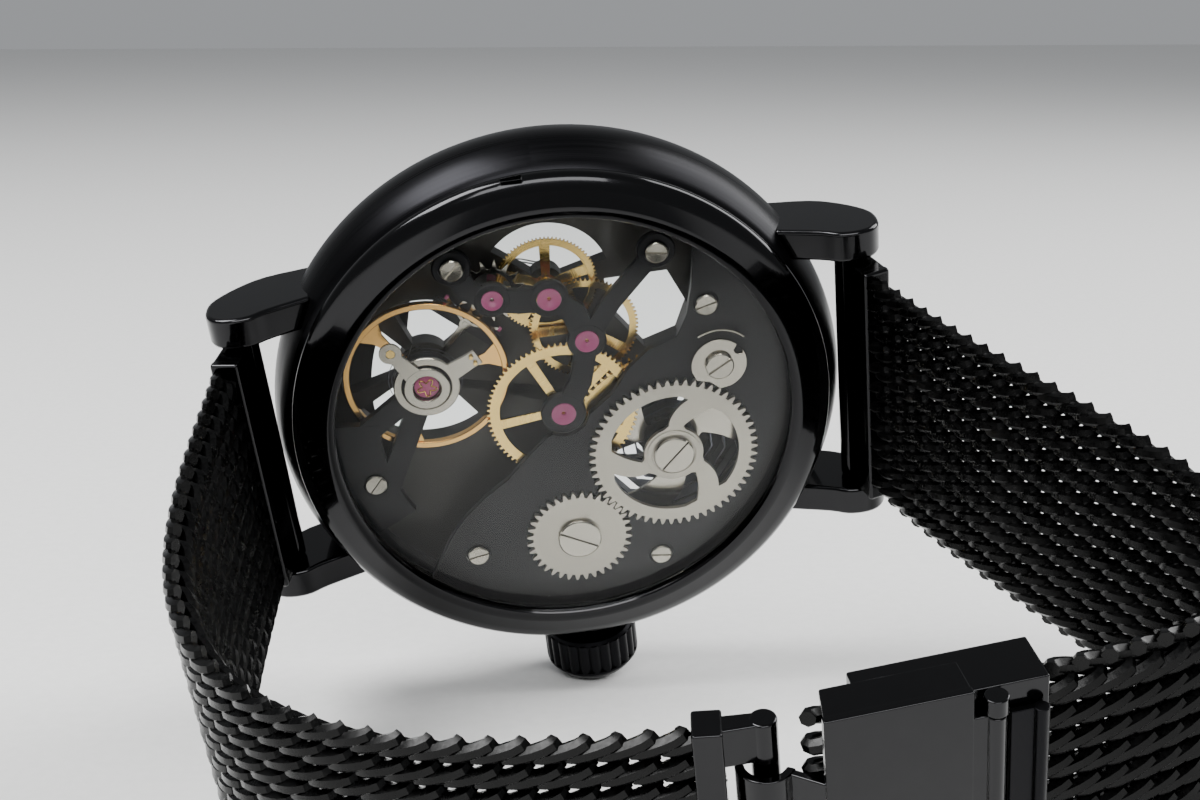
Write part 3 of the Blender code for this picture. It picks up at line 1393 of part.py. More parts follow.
def ground_direction():
    """The way down when the watch lies on its crown, the strap's edge and the clasp."""
    crown_end = (CASE_RADIUS + CROWN_STANDOFF + CROWN_LENGTH + CROWN_DOME, 0.0, CASE_MIDDLE)
    outer = STRAP_THICKNESS / 2
    lower = strap_12_curve()[STRAP_12_STEPS // 2 :] + strap_6_curve()[STRAP_6_STEPS * 2 // 3 :]
    edge_points = [(STRAP_WIDTH / 2, y, z - outer) for y, z in lower]
    cover_half = STRAP_WIDTH / 2 + STRAP_GAP + CLASP_WALL + FIT + COVER_WALL
    depth = STRAP_THICKNESS / 2 + STRAP_GAP + CLASP_WALL + FIT + COVER_WALL + 0.2
    for distance in (WALL_ALONG, HINGE_ALONG + COVER_LENGTH):
        y, z = clasp_point(distance, depth)
        edge_points.append((cover_half, y, z))
    crown = Vector(crown_end)
    points = [Vector(p) for p in edge_points]
    for first, second in itertools.combinations(points, 2):
        normal = (first - crown).cross(second - crown).normalized()
        if normal.x < 0:
            normal.negate()
        straddles = min(first.y, second.y) < 0.0 < max(first.y, second.y)
        if straddles and all(normal.dot(p - crown) < 1e-3 for p in points):
            return normal
    raise RuntimeError("no three points carry the watch")


def lay_down(watch):
    """Turns the watch so that it lies on the ground, centred over the origin."""
    down = ground_direction()
    forward = Vector((0.0, 0.0, 1.0))
    forward = (forward - down * forward.dot(down)).normalized()
    up = -down
    right = forward.cross(up)
    watch.matrix_world = Matrix((right, forward, up)).to_4x4()
    bpy.context.view_layer.update()
    graph = bpy.context.evaluated_depsgraph_get()
    corners = []
    for obj in watch.children:
        if not obj.hide_render:
            solid = obj.evaluated_get(graph)
            corners += [tuple(solid.matrix_world @ v.co) for v in solid.data.vertices]
    low, high = np.min(corners, axis=0), np.max(corners, axis=0)
    watch.location = (-(low[0] + high[0]) / 2, -(low[1] + high[1]) / 2, -low[2])


def main():
    for obj in list(bpy.data.objects):
        bpy.data.objects.remove(obj, do_unlink=True)
    watch = bpy.data.objects.new("watch", None)
    bpy.context.scene.collection.objects.link(watch)
    make_mid_case(watch)
    make_case_shells(watch)
    make_crown(watch)
    make_main_plate(watch)
    make_bridges(watch)
    make_balance_cock(watch)
    make_going_train(watch)
    make_winding_works(watch)
    make_motion_works(watch)
    make_hands(watch)
    make_straps(watch)
    make_clasp(watch)
    lay_down(watch)


main()
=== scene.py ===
"""The looks of a skeleton wristwatch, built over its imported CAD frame.

Every piece is drawn in the watch's own frame, in millimetres: +X to the crown, +Y to 12 o'clock and
+Z from the case back to the dial. Each mesh is then laid in the row frame, in metres.
"""

import json
import math

import bmesh
import bpy
import numpy as np
from mathutils import Matrix, Vector

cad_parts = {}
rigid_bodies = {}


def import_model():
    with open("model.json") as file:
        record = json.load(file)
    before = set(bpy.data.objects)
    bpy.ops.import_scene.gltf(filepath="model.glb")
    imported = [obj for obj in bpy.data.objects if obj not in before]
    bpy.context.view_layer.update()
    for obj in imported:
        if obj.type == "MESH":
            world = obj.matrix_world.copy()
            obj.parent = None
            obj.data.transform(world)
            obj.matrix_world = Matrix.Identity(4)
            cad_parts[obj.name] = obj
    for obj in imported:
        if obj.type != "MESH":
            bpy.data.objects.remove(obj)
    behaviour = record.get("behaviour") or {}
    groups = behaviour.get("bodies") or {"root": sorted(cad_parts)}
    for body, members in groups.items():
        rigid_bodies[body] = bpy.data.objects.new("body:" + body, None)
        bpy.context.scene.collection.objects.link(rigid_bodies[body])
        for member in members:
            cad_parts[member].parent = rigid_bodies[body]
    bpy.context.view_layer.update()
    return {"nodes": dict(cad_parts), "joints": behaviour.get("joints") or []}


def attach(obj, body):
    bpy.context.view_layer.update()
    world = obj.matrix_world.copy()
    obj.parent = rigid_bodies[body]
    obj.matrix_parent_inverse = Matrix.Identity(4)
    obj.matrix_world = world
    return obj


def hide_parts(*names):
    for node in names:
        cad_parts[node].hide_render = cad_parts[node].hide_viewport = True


bl_info = {
    "name": "Skeleton wristwatch",
    "version": (1, 0, 0),
    "blender": (4, 5, 0),
    "location": "3D View > Sidebar > Watch",
    "description": "Builds the looks of a skeleton wristwatch on a mesh strap",
    "category": "Add Mesh",
}

for leftover in list(bpy.data.objects):
    bpy.data.objects.remove(leftover, do_unlink=True)

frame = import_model()
JOINTS = {joint["name"]: joint for joint in frame["joints"]}
MM = 0.001
TO_MM = 1000
SHARP_ANGLE = math.radians(32)
# How far a cutter passes each face, and how far a screw's head stands proud of its plate.
CUT_PAST = 1.0
SCREW_HEAD = 0.37

CENTRE_MARK = 3.0


def watch_matrix():
    """Millimetres in the watch's frame to metres in the row frame, read from two of the joints."""
    forward = Vector(JOINTS["centre_turn"]["axis"]).normalized()
    crown = Vector(JOINTS["crown_turn"]["axis"]).normalized()
    across = forward.cross(crown)
    origin = Vector(JOINTS["centre_turn"]["pos_m"]) - forward * CENTRE_MARK * MM
    turn = Matrix((crown, across, forward)).transposed()
    return Matrix.Translation(origin) @ (turn * MM).to_4x4()


TO_ROW = watch_matrix()
FROM_ROW = TO_ROW.inverted()


def axis_point(joint):
    """A joint's place in the watch's own frame."""
    return FROM_ROW @ Vector(JOINTS[joint]["pos_m"])


def spot(joint):
    return tuple(axis_point(joint))[:2]


def extent(name):
    """The lowest and highest corners of a CAD node in the watch's own frame."""
    mesh = frame["nodes"][name].data
    places = np.empty(len(mesh.vertices) * 3, np.float32)
    mesh.vertices.foreach_get("co", places)
    turn = np.array(FROM_ROW)
    places = places.reshape(-1, 3) @ turn[:3, :3].T + turn[:3, 3]
    return places.min(axis=0), places.max(axis=0)


def level(name):
    low, high = extent(name)
    return (float(low[2]), float(high[2]))


def middle_of(name):
    low, high = extent(name)
    return tuple(float(v) for v in (low[:2] + high[:2]) / 2)


# Where things are in the movement, as (x, y), and the levels of their faces. A screw also has its
# slot's angle.
CENTRE = spot("centre_turn")
THIRD = spot("third_turn")
FOURTH = spot("fourth_turn")
ESCAPE = spot("escape_turn")
BARREL = spot("ratchet_turn")
CROWN_WHEEL = spot("crown_wheel_turn")
BALANCE = spot("balance_swing")
CLICK = spot("click_lift")
TRAIN_SCREWS = ((*middle_of("train_bridge_screw"), 100), (-13.6, 6.8, 45))
BARREL_SCREWS = ((*middle_of("barrel_bridge_screw"), 80), (-7.85, -11.6, 75), (14.3, -6.4, 100))
COCK_SCREW = (*middle_of("cock_screw"), 40)
CASE_MIDDLE = axis_point("crown_turn").z
BAR_Y = axis_point("strap_12_swing").y
BAR_Z = axis_point("strap_12_swing").z
WINDING_LEVEL = level("ratchet_wheel")
BRIDGE_LEVEL = level("train_bridge")
COCK_LEVEL = level("balance_cock")
REGULATOR_LEVEL = level("regulator_index")
PLATE_LEVEL = level("main_plate")
BALANCE_LEVEL = (3.02, 3.6)
PALLET_LEVEL = (3.73, 3.87)
REGULATOR_PINS = (-6.35, 5.9)
STUD = (-8.0, 12.35)
ESCAPE_RADIUS = 2.55
PALLET_DISTANCE = ESCAPE_RADIUS * 1.3

# Materials


def node(tree, kind, at, **settings):
    made = tree.nodes.new(kind)
    made.location = at
    for key, value in settings.items():
        setattr(made, key, value)
    return made


def grain_group():
    """Shared wear: blotches, fine grain and a bump normal, from a point in millimetres."""
    found = bpy.data.node_groups.get("metal grain")
    if found:
        return found
    tree = bpy.data.node_groups.new("metal grain", "ShaderNodeTree")
    for name, kind, value in (
        ("Point", "NodeSocketVector", (0.0, 0.0, 0.0)),
        ("Blotch Scale", "NodeSocketFloat", 0.35),
        ("Grain Scale", "NodeSocketFloat", 9.0),
        ("Bump", "NodeSocketFloat", 0.05),
    ):
        socket = tree.interface.new_socket(name, in_out="INPUT", socket_type=kind)
        socket.default_value = value
    tree.interface.new_socket("Variation", in_out="OUTPUT", socket_type="NodeSocketFloat")
    tree.interface.new_socket("Normal", in_out="OUTPUT", socket_type="NodeSocketVector")
    enter = node(tree, "NodeGroupInput", (-700, 0))
    leave = node(tree, "NodeGroupOutput", (500, 0))
    blotch = node(tree, "ShaderNodeTexNoise", (-450, 180))
    grain = node(tree, "ShaderNodeTexNoise", (-450, -120))
    blotch.inputs["Detail"].default_value = 5.0
    grain.inputs["Detail"].default_value = 3.0
    mix = node(tree, "ShaderNodeMath", (-200, 100), operation="MULTIPLY_ADD")
    mix.inputs[1].default_value = 0.45
    share = node(tree, "ShaderNodeMath", (-60, 200), operation="MULTIPLY")
    share.inputs[1].default_value = 0.55
    bump = node(tree, "ShaderNodeBump", (200, -150))
    bump.inputs["Distance"].default_value = 0.00005
    link = tree.links.new
    link(enter.outputs["Point"], blotch.inputs["Vector"])
    link(enter.outputs["Point"], grain.inputs["Vector"])
    link(enter.outputs["Blotch Scale"], blotch.inputs["Scale"])
    link(enter.outputs["Grain Scale"], grain.inputs["Scale"])
    link(blotch.outputs["Fac"], share.inputs[0])
    link(grain.outputs["Fac"], mix.inputs[0])
    link(share.outputs[0], mix.inputs[2])
    link(mix.outputs[0], leave.inputs["Variation"])
    link(enter.outputs["Bump"], bump.inputs["Strength"])
    link(grain.outputs["Fac"], bump.inputs["Height"])
    link(bump.outputs["Normal"], leave.inputs["Normal"])
    return tree


def brush_group():
    """Fine turned or straight brushing as a stretched point, from a point in millimetres."""
    found = bpy.data.node_groups.get("brushing")
    if found:
        return found
    tree = bpy.data.node_groups.new("brushing", "ShaderNodeTree")
    tree.interface.new_socket("Point", in_out="INPUT", socket_type="NodeSocketVector")
    tree.interface.new_socket("Turned", in_out="OUTPUT", socket_type="NodeSocketVector")
    tree.interface.new_socket("Straight", in_out="OUTPUT", socket_type="NodeSocketVector")
    enter = node(tree, "NodeGroupInput", (-700, 0))
    leave = node(tree, "NodeGroupOutput", (500, 0))
    split = node(tree, "ShaderNodeSeparateXYZ", (-500, 0))
    flat = node(tree, "ShaderNodeCombineXYZ", (-330, 100))
    length = node(tree, "ShaderNodeVectorMath", (-150, 100), operation="LENGTH")
    angle = node(tree, "ShaderNodeMath", (-330, -80), operation="ARCTAN2")
    rings = node(tree, "ShaderNodeCombineXYZ", (200, 60))
    fine = node(tree, "ShaderNodeMath", (30, 100), operation="MULTIPLY")
    fine.inputs[1].default_value = 4.0
    slow = node(tree, "ShaderNodeMath", (30, -60), operation="MULTIPLY")
    slow.inputs[1].default_value = 0.25
    straight = node(tree, "ShaderNodeVectorMath", (200, -160), operation="MULTIPLY")
    straight.inputs[1].default_value = (0.12, 4.0, 1.0)
    link = tree.links.new
    link(enter.outputs["Point"], split.inputs[0])
    link(split.outputs["X"], flat.inputs["X"])
    link(split.outputs["Y"], flat.inputs["Y"])
    link(flat.outputs[0], length.inputs[0])
    link(split.outputs["Y"], angle.inputs[0])
    link(split.outputs["X"], angle.inputs[1])
    link(length.outputs["Value"], fine.inputs[0])
    link(angle.outputs[0], slow.inputs[0])
    link(fine.outputs[0], rings.inputs["X"])
    link(slow.outputs[0], rings.inputs["Y"])
    link(split.outputs["Z"], rings.inputs["Z"])
    link(enter.outputs["Point"], straight.inputs[0])
    link(rings.outputs[0], leave.inputs["Turned"])
    link(straight.outputs[0], leave.inputs["Straight"])
    return tree


def scroll_group():
    """Engraved leaf scrolls as a height, from a point in millimetres."""
    found = bpy.data.node_groups.get("scrollwork")
    if found:
        return found
    tree = bpy.data.node_groups.new("scrollwork", "ShaderNodeTree")
    tree.interface.new_socket("Point", in_out="INPUT", socket_type="NodeSocketVector")
    tree.interface.new_socket("Height", in_out="OUTPUT", socket_type="NodeSocketFloat")
    enter = node(tree, "NodeGroupInput", (-800, 0))
    leave = node(tree, "NodeGroupOutput", (600, 0))
    cells = node(tree, "ShaderNodeTexVoronoi", (-500, 120), feature="F1")
    cells.inputs["Scale"].default_value = 0.42
    curl = node(tree, "ShaderNodeTexNoise", (-500, -160))
    curl.inputs["Scale"].default_value = 0.5
    wave = node(tree, "ShaderNodeMath", (-250, 60), operation="MULTIPLY_ADD")
    wave.inputs[1].default_value = 14.0
    twist = node(tree, "ShaderNodeMath", (-250, -140), operation="MULTIPLY")
    twist.inputs[1].default_value = 7.0
    sine = node(tree, "ShaderNodeMath", (0, 60), operation="SINE")
    step = node(tree, "ShaderNodeMapRange", (220, 60), interpolation_type="SMOOTHSTEP")
    step.inputs["From Min"].default_value = -0.2
    step.inputs["From Max"].default_value = 0.55
    link = tree.links.new
    link(enter.outputs["Point"], cells.inputs["Vector"])
    link(enter.outputs["Point"], curl.inputs["Vector"])
    link(cells.outputs["Distance"], wave.inputs[0])
    link(curl.outputs["Fac"], twist.inputs[0])
    link(twist.outputs[0], wave.inputs[2])
    link(wave.outputs[0], sine.inputs[0])
    link(sine.outputs[0], step.inputs["Value"])
    link(step.outputs["Result"], leave.inputs["Height"])
    return tree


def finish(
    name,
    colour,
    roughness,
    metallic=1.0,
    spread=0.12,
    brushed=None,
    bump=0.05,
    grain=9.0,
    coat=0.0,
    scroll=0.0,
):
    """A Principled material whose colour and roughness vary with wear. brushed is Turned or Straight."""
    made = bpy.data.materials.get(name)
    if made:
        return made
    made = bpy.data.materials.new(name)
    made.use_nodes = True
    tree = made.node_tree
    shader = tree.nodes["Principled BSDF"]
    link = tree.links.new
    point = node(tree, "ShaderNodeAttribute", (-1300, 0), attribute_name="local")
    where = point.outputs["Vector"]
    wear = node(tree, "ShaderNodeGroup", (-850, 0), node_tree=grain_group())
    wear.inputs["Grain Scale"].default_value = grain
    wear.inputs["Bump"].default_value = bump
    if brushed:
        strokes = node(tree, "ShaderNodeGroup", (-1080, -120), node_tree=brush_group())
        link(where, strokes.inputs["Point"])
        link(strokes.outputs[brushed], wear.inputs["Point"])
    else:
        link(where, wear.inputs["Point"])
    rough = node(tree, "ShaderNodeMapRange", (-500, -120))
    rough.inputs["From Min"].default_value = 0.3
    rough.inputs["From Max"].default_value = 0.7
    rough.inputs["To Min"].default_value = max(0.02, roughness - spread * 0.5)
    rough.inputs["To Max"].default_value = roughness + spread
    tint = node(tree, "ShaderNodeMix", (-500, 160), data_type="RGBA")
    tint.inputs["A"].default_value = (*[c * 0.86 for c in colour], 1.0)
    tint.inputs["B"].default_value = (*[min(1.0, c * 1.1) for c in colour], 1.0)
    link(wear.outputs["Variation"], rough.inputs["Value"])
    link(wear.outputs["Variation"], tint.inputs["Factor"])
    link(rough.outputs["Result"], shader.inputs["Roughness"])
    link(tint.outputs["Result"], shader.inputs["Base Color"])
    normal = wear.outputs["Normal"]
    if scroll:
        carving = node(tree, "ShaderNodeGroup", (-850, -420), node_tree=scroll_group())
        carve = node(tree, "ShaderNodeBump", (-250, -420))
        carve.inputs["Strength"].default_value = scroll
        carve.inputs["Distance"].default_value = 0.0006
        link(where, carving.inputs["Point"])
        link(carving.outputs["Height"], carve.inputs["Height"])
        link(normal, carve.inputs["Normal"])
        normal = carve.outputs["Normal"]
    link(normal, shader.inputs["Normal"])
    shader.inputs["Metallic"].default_value = metallic
    shader.inputs["Coat Weight"].default_value = coat
    shader.inputs["Coat Roughness"].default_value = 0.06
    return made


def crystal(name, tint, strength):
    """Clear flat glass: light passes straight through, and the surface reflects at a slant."""
    made = bpy.data.materials.get(name)
    if made:
        return made
    made = bpy.data.materials.new(name)
    made.use_nodes = True
    tree = made.node_tree
    tree.nodes.remove(tree.nodes["Principled BSDF"])
    link = tree.links.new
    through = node(tree, "ShaderNodeBsdfTransparent", (-200, 100))
    through.inputs["Color"].default_value = (*tint, 1.0)
    shine = node(tree, "ShaderNodeBsdfGlossy", (-200, -80))
    edge = node(tree, "ShaderNodeFresnel", (-620, 260))
    edge.inputs["IOR"].default_value = 1.45
    share = node(tree, "ShaderNodeMath", (-420, 260), operation="MULTIPLY")
    share.inputs[1].default_value = strength
    smudge = node(tree, "ShaderNodeTexNoise", (-620, -80))
    smudge.inputs["Scale"].default_value = 0.12
    where = node(tree, "ShaderNodeAttribute", (-820, -80), attribute_name="local")
    haze = node(tree, "ShaderNodeMapRange", (-420, -80))
    haze.inputs["To Min"].default_value = 0.015
    haze.inputs["To Max"].default_value = 0.09
    mix = node(tree, "ShaderNodeMixShader", (50, 60))
    link(where.outputs["Vector"], smudge.inputs["Vector"])
    link(smudge.outputs["Fac"], haze.inputs["Value"])
    link(haze.outputs["Result"], shine.inputs["Roughness"])
    link(edge.outputs[0], share.inputs[0])
    link(share.outputs[0], mix.inputs["Fac"])
    link(through.outputs[0], mix.inputs[1])
    link(shine.outputs[0], mix.inputs[2])
    link(mix.outputs[0], tree.nodes["Material Output"].inputs["Surface"])
    return made


def looks():
    """Every material by name, from the sidebar's colours."""
    s = bpy.context.scene.watch_colours
    return {
        "gloss": finish("polished black steel", s.case, 0.13, spread=0.1, bump=0.02, grain=2.0, coat=0.35),
        "satin": finish(
            "satin black steel", s.case, 0.3, spread=0.12, brushed="Turned", bump=0.06, grain=5.0
        ),
        "weave": finish("black mesh wire", s.strap, 0.24, spread=0.2, bump=0.08, grain=4.0),
        "bridge": finish("black bridge", s.bridge, 0.4, spread=0.2, bump=0.12, grain=8.0, metallic=0.85),
        "carved": finish(
            "engraved black bridge",
            s.bridge,
            0.34,
            spread=0.2,
            bump=0.1,
            grain=8.0,
            metallic=0.85,
            scroll=1.0,
        ),
        "plate": finish("frosted dark plate", s.plate, 0.42, spread=0.2, bump=0.35, grain=14.0),
        "steel": finish("turned steel", s.steel, 0.33, spread=0.1, brushed="Turned", bump=0.04, grain=6.0),
        "bright": finish(
            "polished steel", s.steel, 0.14, spread=0.12, brushed="Straight", bump=0.06, grain=6.0
        ),
        "brass": finish("gilt brass", s.brass, 0.2, spread=0.14, brushed="Turned", bump=0.08, grain=7.0),
        "gold": finish("polished gilt rim", s.rim, 0.15, spread=0.1, bump=0.03, grain=3.0),
        "spring": finish("dark spring steel", (0.09, 0.09, 0.11), 0.28, spread=0.1, bump=0.04, grain=5.0),
        "ruby": finish("ruby", s.ruby, 0.08, metallic=0.0, spread=0.06, bump=0.0, coat=1.0),
        "rubber": finish(
            "seal rubber", (0.015, 0.015, 0.016), 0.65, metallic=0.0, spread=0.2, bump=0.3, grain=12.0
        ),
        "dial": finish(
            "matt black dial", (0.012, 0.012, 0.013), 0.55, metallic=0.0, spread=0.2, bump=0.15, grain=15.0
        ),
        "mark": finish("pale marks", (0.7, 0.69, 0.66), 0.35, metallic=0.0, spread=0.1, bump=0.05),
        "back_glass": crystal("back crystal", (0.98, 0.985, 0.98), 0.4),
        "front_glass": crystal("front crystal", (0.97, 0.98, 0.98), 0.5),
    }


# Shapes


def lathe(profile, steps=96, ring=True):
    """A profile of (radius, z) points turned about Z."""
    bm = bmesh.new()
    verts = [bm.verts.new((radius, 0.0, z)) for radius, z in profile]
    edges = [bm.edges.new(pair) for pair in zip(verts, verts[1:])]
    if ring:
        edges.append(bm.edges.new((verts[-1], verts[0])))
    bmesh.ops.spin(
        bm, geom=verts + edges, axis=(0, 0, 1), cent=(0, 0, 0), angle=math.tau, steps=steps, use_merge=True
    )
    bmesh.ops.remove_doubles(bm, verts=bm.verts, dist=1e-4)
    bmesh.ops.recalc_face_normals(bm, faces=bm.faces)
    return bm


def rod(radius, low, high, steps=48):
    return lathe([(0.0, low), (radius, low), (radius, high), (0.0, high)], steps, ring=False)


def washer(inner, outer, low, high, steps=96):
    return lathe([(inner, low), (outer, low), (outer, high), (inner, high)], steps)


def plate(outlines, low, high):
    """A flat shape with holes, its outlines given as (x, y) points."""
    bm = bmesh.new()
    for outline in outlines:
        verts = [bm.verts.new((x, y, low)) for x, y in outline]
        for pair in zip(verts, verts[1:] + verts[:1]):
            bm.edges.new(pair)
    bmesh.ops.triangle_fill(bm, edges=bm.edges[:], use_beauty=True, use_dissolve=False, normal=(0, 0, 1))
    bmesh.ops.dissolve_limit(bm, angle_limit=0.001, verts=bm.verts[:], edges=bm.edges[:])
    lifted = bmesh.ops.extrude_face_region(bm, geom=bm.faces[:])["geom"]
    top = [item for item in lifted if isinstance(item, bmesh.types.BMVert)]
    bmesh.ops.translate(bm, verts=top, vec=(0, 0, high - low))
    bmesh.ops.recalc_face_normals(bm, faces=bm.faces)
    return bm


def box(low, high):
    bm = bmesh.new()
    bmesh.ops.create_cube(bm, size=1.0)
    bmesh.ops.scale(bm, vec=Vector(high) - Vector(low), verts=bm.verts)
    bmesh.ops.translate(bm, verts=bm.verts, vec=(Vector(high) + Vector(low)) / 2)
    return bm


def along_x(bm):
    """Turns what was drawn along Z to lie along X, so that its X, Y become Y, Z."""
    swap = Matrix(((0, 0, 1), (1, 0, 0), (0, 1, 0))).to_4x4()
    bmesh.ops.transform(bm, matrix=swap, verts=bm.verts)
    return bm


def moved(bm, at, turn_deg=0.0):
    """The shape turned about Z, then moved. at has two or three numbers."""
    if turn_deg:
        turn = Matrix.Rotation(math.radians(turn_deg), 3, "Z")
        bmesh.ops.rotate(bm, verts=bm.verts, cent=(0, 0, 0), matrix=turn)
    bmesh.ops.translate(bm, verts=bm.verts, vec=Vector((*at, 0.0)[:3]))
    return bm


def bore(radius, faces, at, steps=48):
    """A round cutter right through a plate with these faces."""
    low, high = faces
    return moved(rod(radius, low - CUT_PAST, high + CUT_PAST, steps), at)


def countersink(radius, face, depth, at, steps=48):
    """A round cutter into a plate's lower face."""
    return moved(rod(radius, face - CUT_PAST, face + depth, steps), at)


def joined(*shapes):
    """Several shapes as one, left crossing each other."""
    whole = shapes[0]
    for shape in shapes[1:]:
        spare = bpy.data.meshes.new("spare")
        shape.to_mesh(spare)
        shape.free()
        whole.from_mesh(spare)
        bpy.data.meshes.remove(spare)
    return whole


def arc(centre, radius, start, end, count):
    return [
        (centre[0] + radius * math.cos(a), centre[1] + radius * math.sin(a))
        for a in np.linspace(math.radians(start), math.radians(end), count)
    ]


def at_angle(centre, radius, degrees):
    """The point at this distance and angle from the centre."""
    return arc(centre, radius, degrees, degrees, 1)[0]


def circle(centre, radius, steps=40):
    return arc(centre, radius, 0.0, 360.0 * (steps - 1) / steps, steps)


def sector(centre, inner, outer, start, end, count=16):
    return arc(centre, outer, start, end, count) + arc(centre, inner, end, start, count)


def swirl(inner, outer, start, end, twist, count=14):
    """A window whose sides lean round the centre as they go out, with rounded corners."""
    outline = []
    rounding = (end - start) * 0.1
    outline += arc((0, 0), outer, start + twist + rounding, end + twist - rounding, count)
    for share in np.linspace(0.92, 0.08, count):
        radius = inner + (outer - inner) * share
        outline.append(at_angle((0, 0), radius, end + twist * share**1.3))
    outline += arc((0, 0), inner, end - rounding, start + rounding, count)
    for share in np.linspace(0.08, 0.92, count):
        radius = inner + (outer - inner) * share
        outline.append(at_angle((0, 0), radius, start + twist * share**0.8))
    return outline


def bar(start, end, half_width, start_half=None):
    first = half_width if start_half is None else start_half
    a, b = Vector(start), Vector(end)
    side = (b - a).normalized().orthogonal()
    return [
        tuple(a + side * first),
        tuple(a - side * first),
        tuple(b - side * half_width),
        tuple(b + side * half_width),
    ]


def gear(teeth, pitch_radius, addendum, dedendum, width, tip_width, phase=0.0):
    """A gear outline with rounded tooth tips. Widths are shares of the pitch."""
    step = math.tau / teeth
    shape = (
        (-dedendum, -width / 2),
        (0.0, -(width * 0.55 + tip_width * 0.45) / 2),
        (addendum * 0.85, -tip_width / 2),
        (addendum, 0.0),
        (addendum * 0.85, tip_width / 2),
        (0.0, (width * 0.55 + tip_width * 0.45) / 2),
        (-dedendum, width / 2),
    )
    points = []
    for k in range(teeth):
        for height, offset in shape:
            angle = (k + offset) * step + phase
            radius = pitch_radius + height
            points.append((radius * math.cos(angle), radius * math.sin(angle)))
    return points


def gear_pair(first, second, first_teeth, second_teeth):
    """The pitch radii, the module and the second gear's phase when the first has a tooth at angle 0."""
    distance = math.dist(first, second)
    module = 2 * distance / (first_teeth + second_teeth)
    heading = math.atan2(second[1] - first[1], second[0] - first[0])
    share = (heading / (math.tau / first_teeth)) % 1.0
    phase = heading + math.pi + (share + 0.5) * math.tau / second_teeth
    return module * first_teeth / 2, module * second_teeth / 2, module, phase


def tube(points, radius, sides=8, closed=False):
    """A round wire through the points."""
    bm = bmesh.new()
    points = [Vector(p) for p in points]
    count = len(points)
    rings = []
    side = None
    for k, point in enumerate(points):
        before = points[(k - 1) % count] if closed or k else point
        after = points[(k + 1) % count] if closed or k < count - 1 else point
        heading = (after - before).normalized()
        if side is None:
            side = heading.orthogonal().normalized()
        side = (side - heading * side.dot(heading)).normalized()
        up = heading.cross(side)
        rings.append([
            bm.verts.new(point + (side * math.cos(a) + up * math.sin(a)) * radius)
            for a in np.linspace(0.0, math.tau, sides, endpoint=False)
        ])
    pairs = list(zip(rings, rings[1:]))
    if closed:
        pairs.append((rings[-1], rings[0]))
    for first, second in pairs:
        for i in range(sides):
            bm.faces.new((first[i], first[(i + 1) % sides], second[(i + 1) % sides], second[i]))
    if not closed:
        bm.faces.new(rings[0])
        bm.faces.new(rings[-1])
    bmesh.ops.recalc_face_normals(bm, faces=bm.faces)
    return bm


def smooth_path(points, per_span=6):
    """A Catmull-Rom curve through (y, z) points."""
    knots = [np.array(p, float) for p in points]
    knots = [2 * knots[0] - knots[1], *knots, 2 * knots[-1] - knots[-2]]
    path = []
    for a, b, c, d in zip(knots, knots[1:], knots[2:], knots[3:]):
        for k in range(per_span):
            t = k / per_span
            bend = 2 * a - 5 * b + 4 * c - d
            sway = 3 * b - a - 3 * c + d
            path.append(0.5 * (2 * b + (c - a) * t + bend * t**2 + sway * t**3))
    return [*path, knots[-2]]


def band(path, width, thickness):
    """A flat band along a path of (y, z) points."""
    bm = bmesh.new()
    path = [np.array(p, float) for p in path]
    loops = []
    for k, point in enumerate(path):
        heading = path[min(k + 1, len(path) - 1)] - path[max(k - 1, 0)]
        side = np.array((-heading[1], heading[0])) / np.hypot(*heading) * thickness / 2
        corners = (
            (-width / 2, point + side),
            (width / 2, point + side),
            (width / 2, point - side),
            (-width / 2, point - side),
        )
        loops.append([bm.verts.new((x, q[0], q[1])) for x, q in corners])
    for first, second in zip(loops, loops[1:]):
        for i in range(4):
            bm.faces.new((first[i], first[(i + 1) % 4], second[(i + 1) % 4], second[i]))
    bm.faces.new(loops[0])
    bm.faces.new(loops[-1])
    bmesh.ops.recalc_face_normals(bm, faces=bm.faces)
    return bm


def as_mesh(name, bm, centre=(0.0, 0.0, 0.0)):
    """The shape as a mesh in the row frame, remembering each point's place round its own centre."""
    mesh = bpy.data.meshes.new(name)
    bm.to_mesh(mesh)
    bm.free()
    places = np.empty(len(mesh.vertices) * 3, np.float32)
    mesh.vertices.foreach_get("co", places)
    local = places.reshape(-1, 3) - np.array((*centre, 0.0)[:3], np.float32)
    kept = mesh.attributes.new("local", "FLOAT_VECTOR", "POINT")
    kept.data.foreach_set("vector", local.astype(np.float32).ravel())
    mesh.transform(TO_ROW)
    return mesh


def take_away(obj, cut, centre):
    """Cuts the shapes away from the object, and makes its crossing shells one body."""
    name = obj.name + "_cut"
    tool = bpy.data.objects.new(name, as_mesh(name, joined(*cut), centre))
    bpy.context.scene.collection.objects.link(tool)
    boolean = obj.modifiers.new("cut", "BOOLEAN")
    boolean.object = tool
    boolean.operation = "DIFFERENCE"
    boolean.use_self = True
    bpy.context.view_layer.update()
    made = bpy.data.meshes.new_from_object(obj.evaluated_get(bpy.context.evaluated_depsgraph_get()))
    obj.modifiers.clear()
    obj.data = made
    bpy.data.objects.remove(tool)


def soften(obj, width, harden=False):
    """Rounds the sharp edges by a width in millimetres."""
    edge = obj.modifiers.new("edge", "BEVEL")
    edge.width = width * MM
    edge.segments = 2
    edge.limit_method = "ANGLE"
    edge.angle_limit = SHARP_ANGLE
    edge.use_clamp_overlap = True
    edge.harden_normals = harden


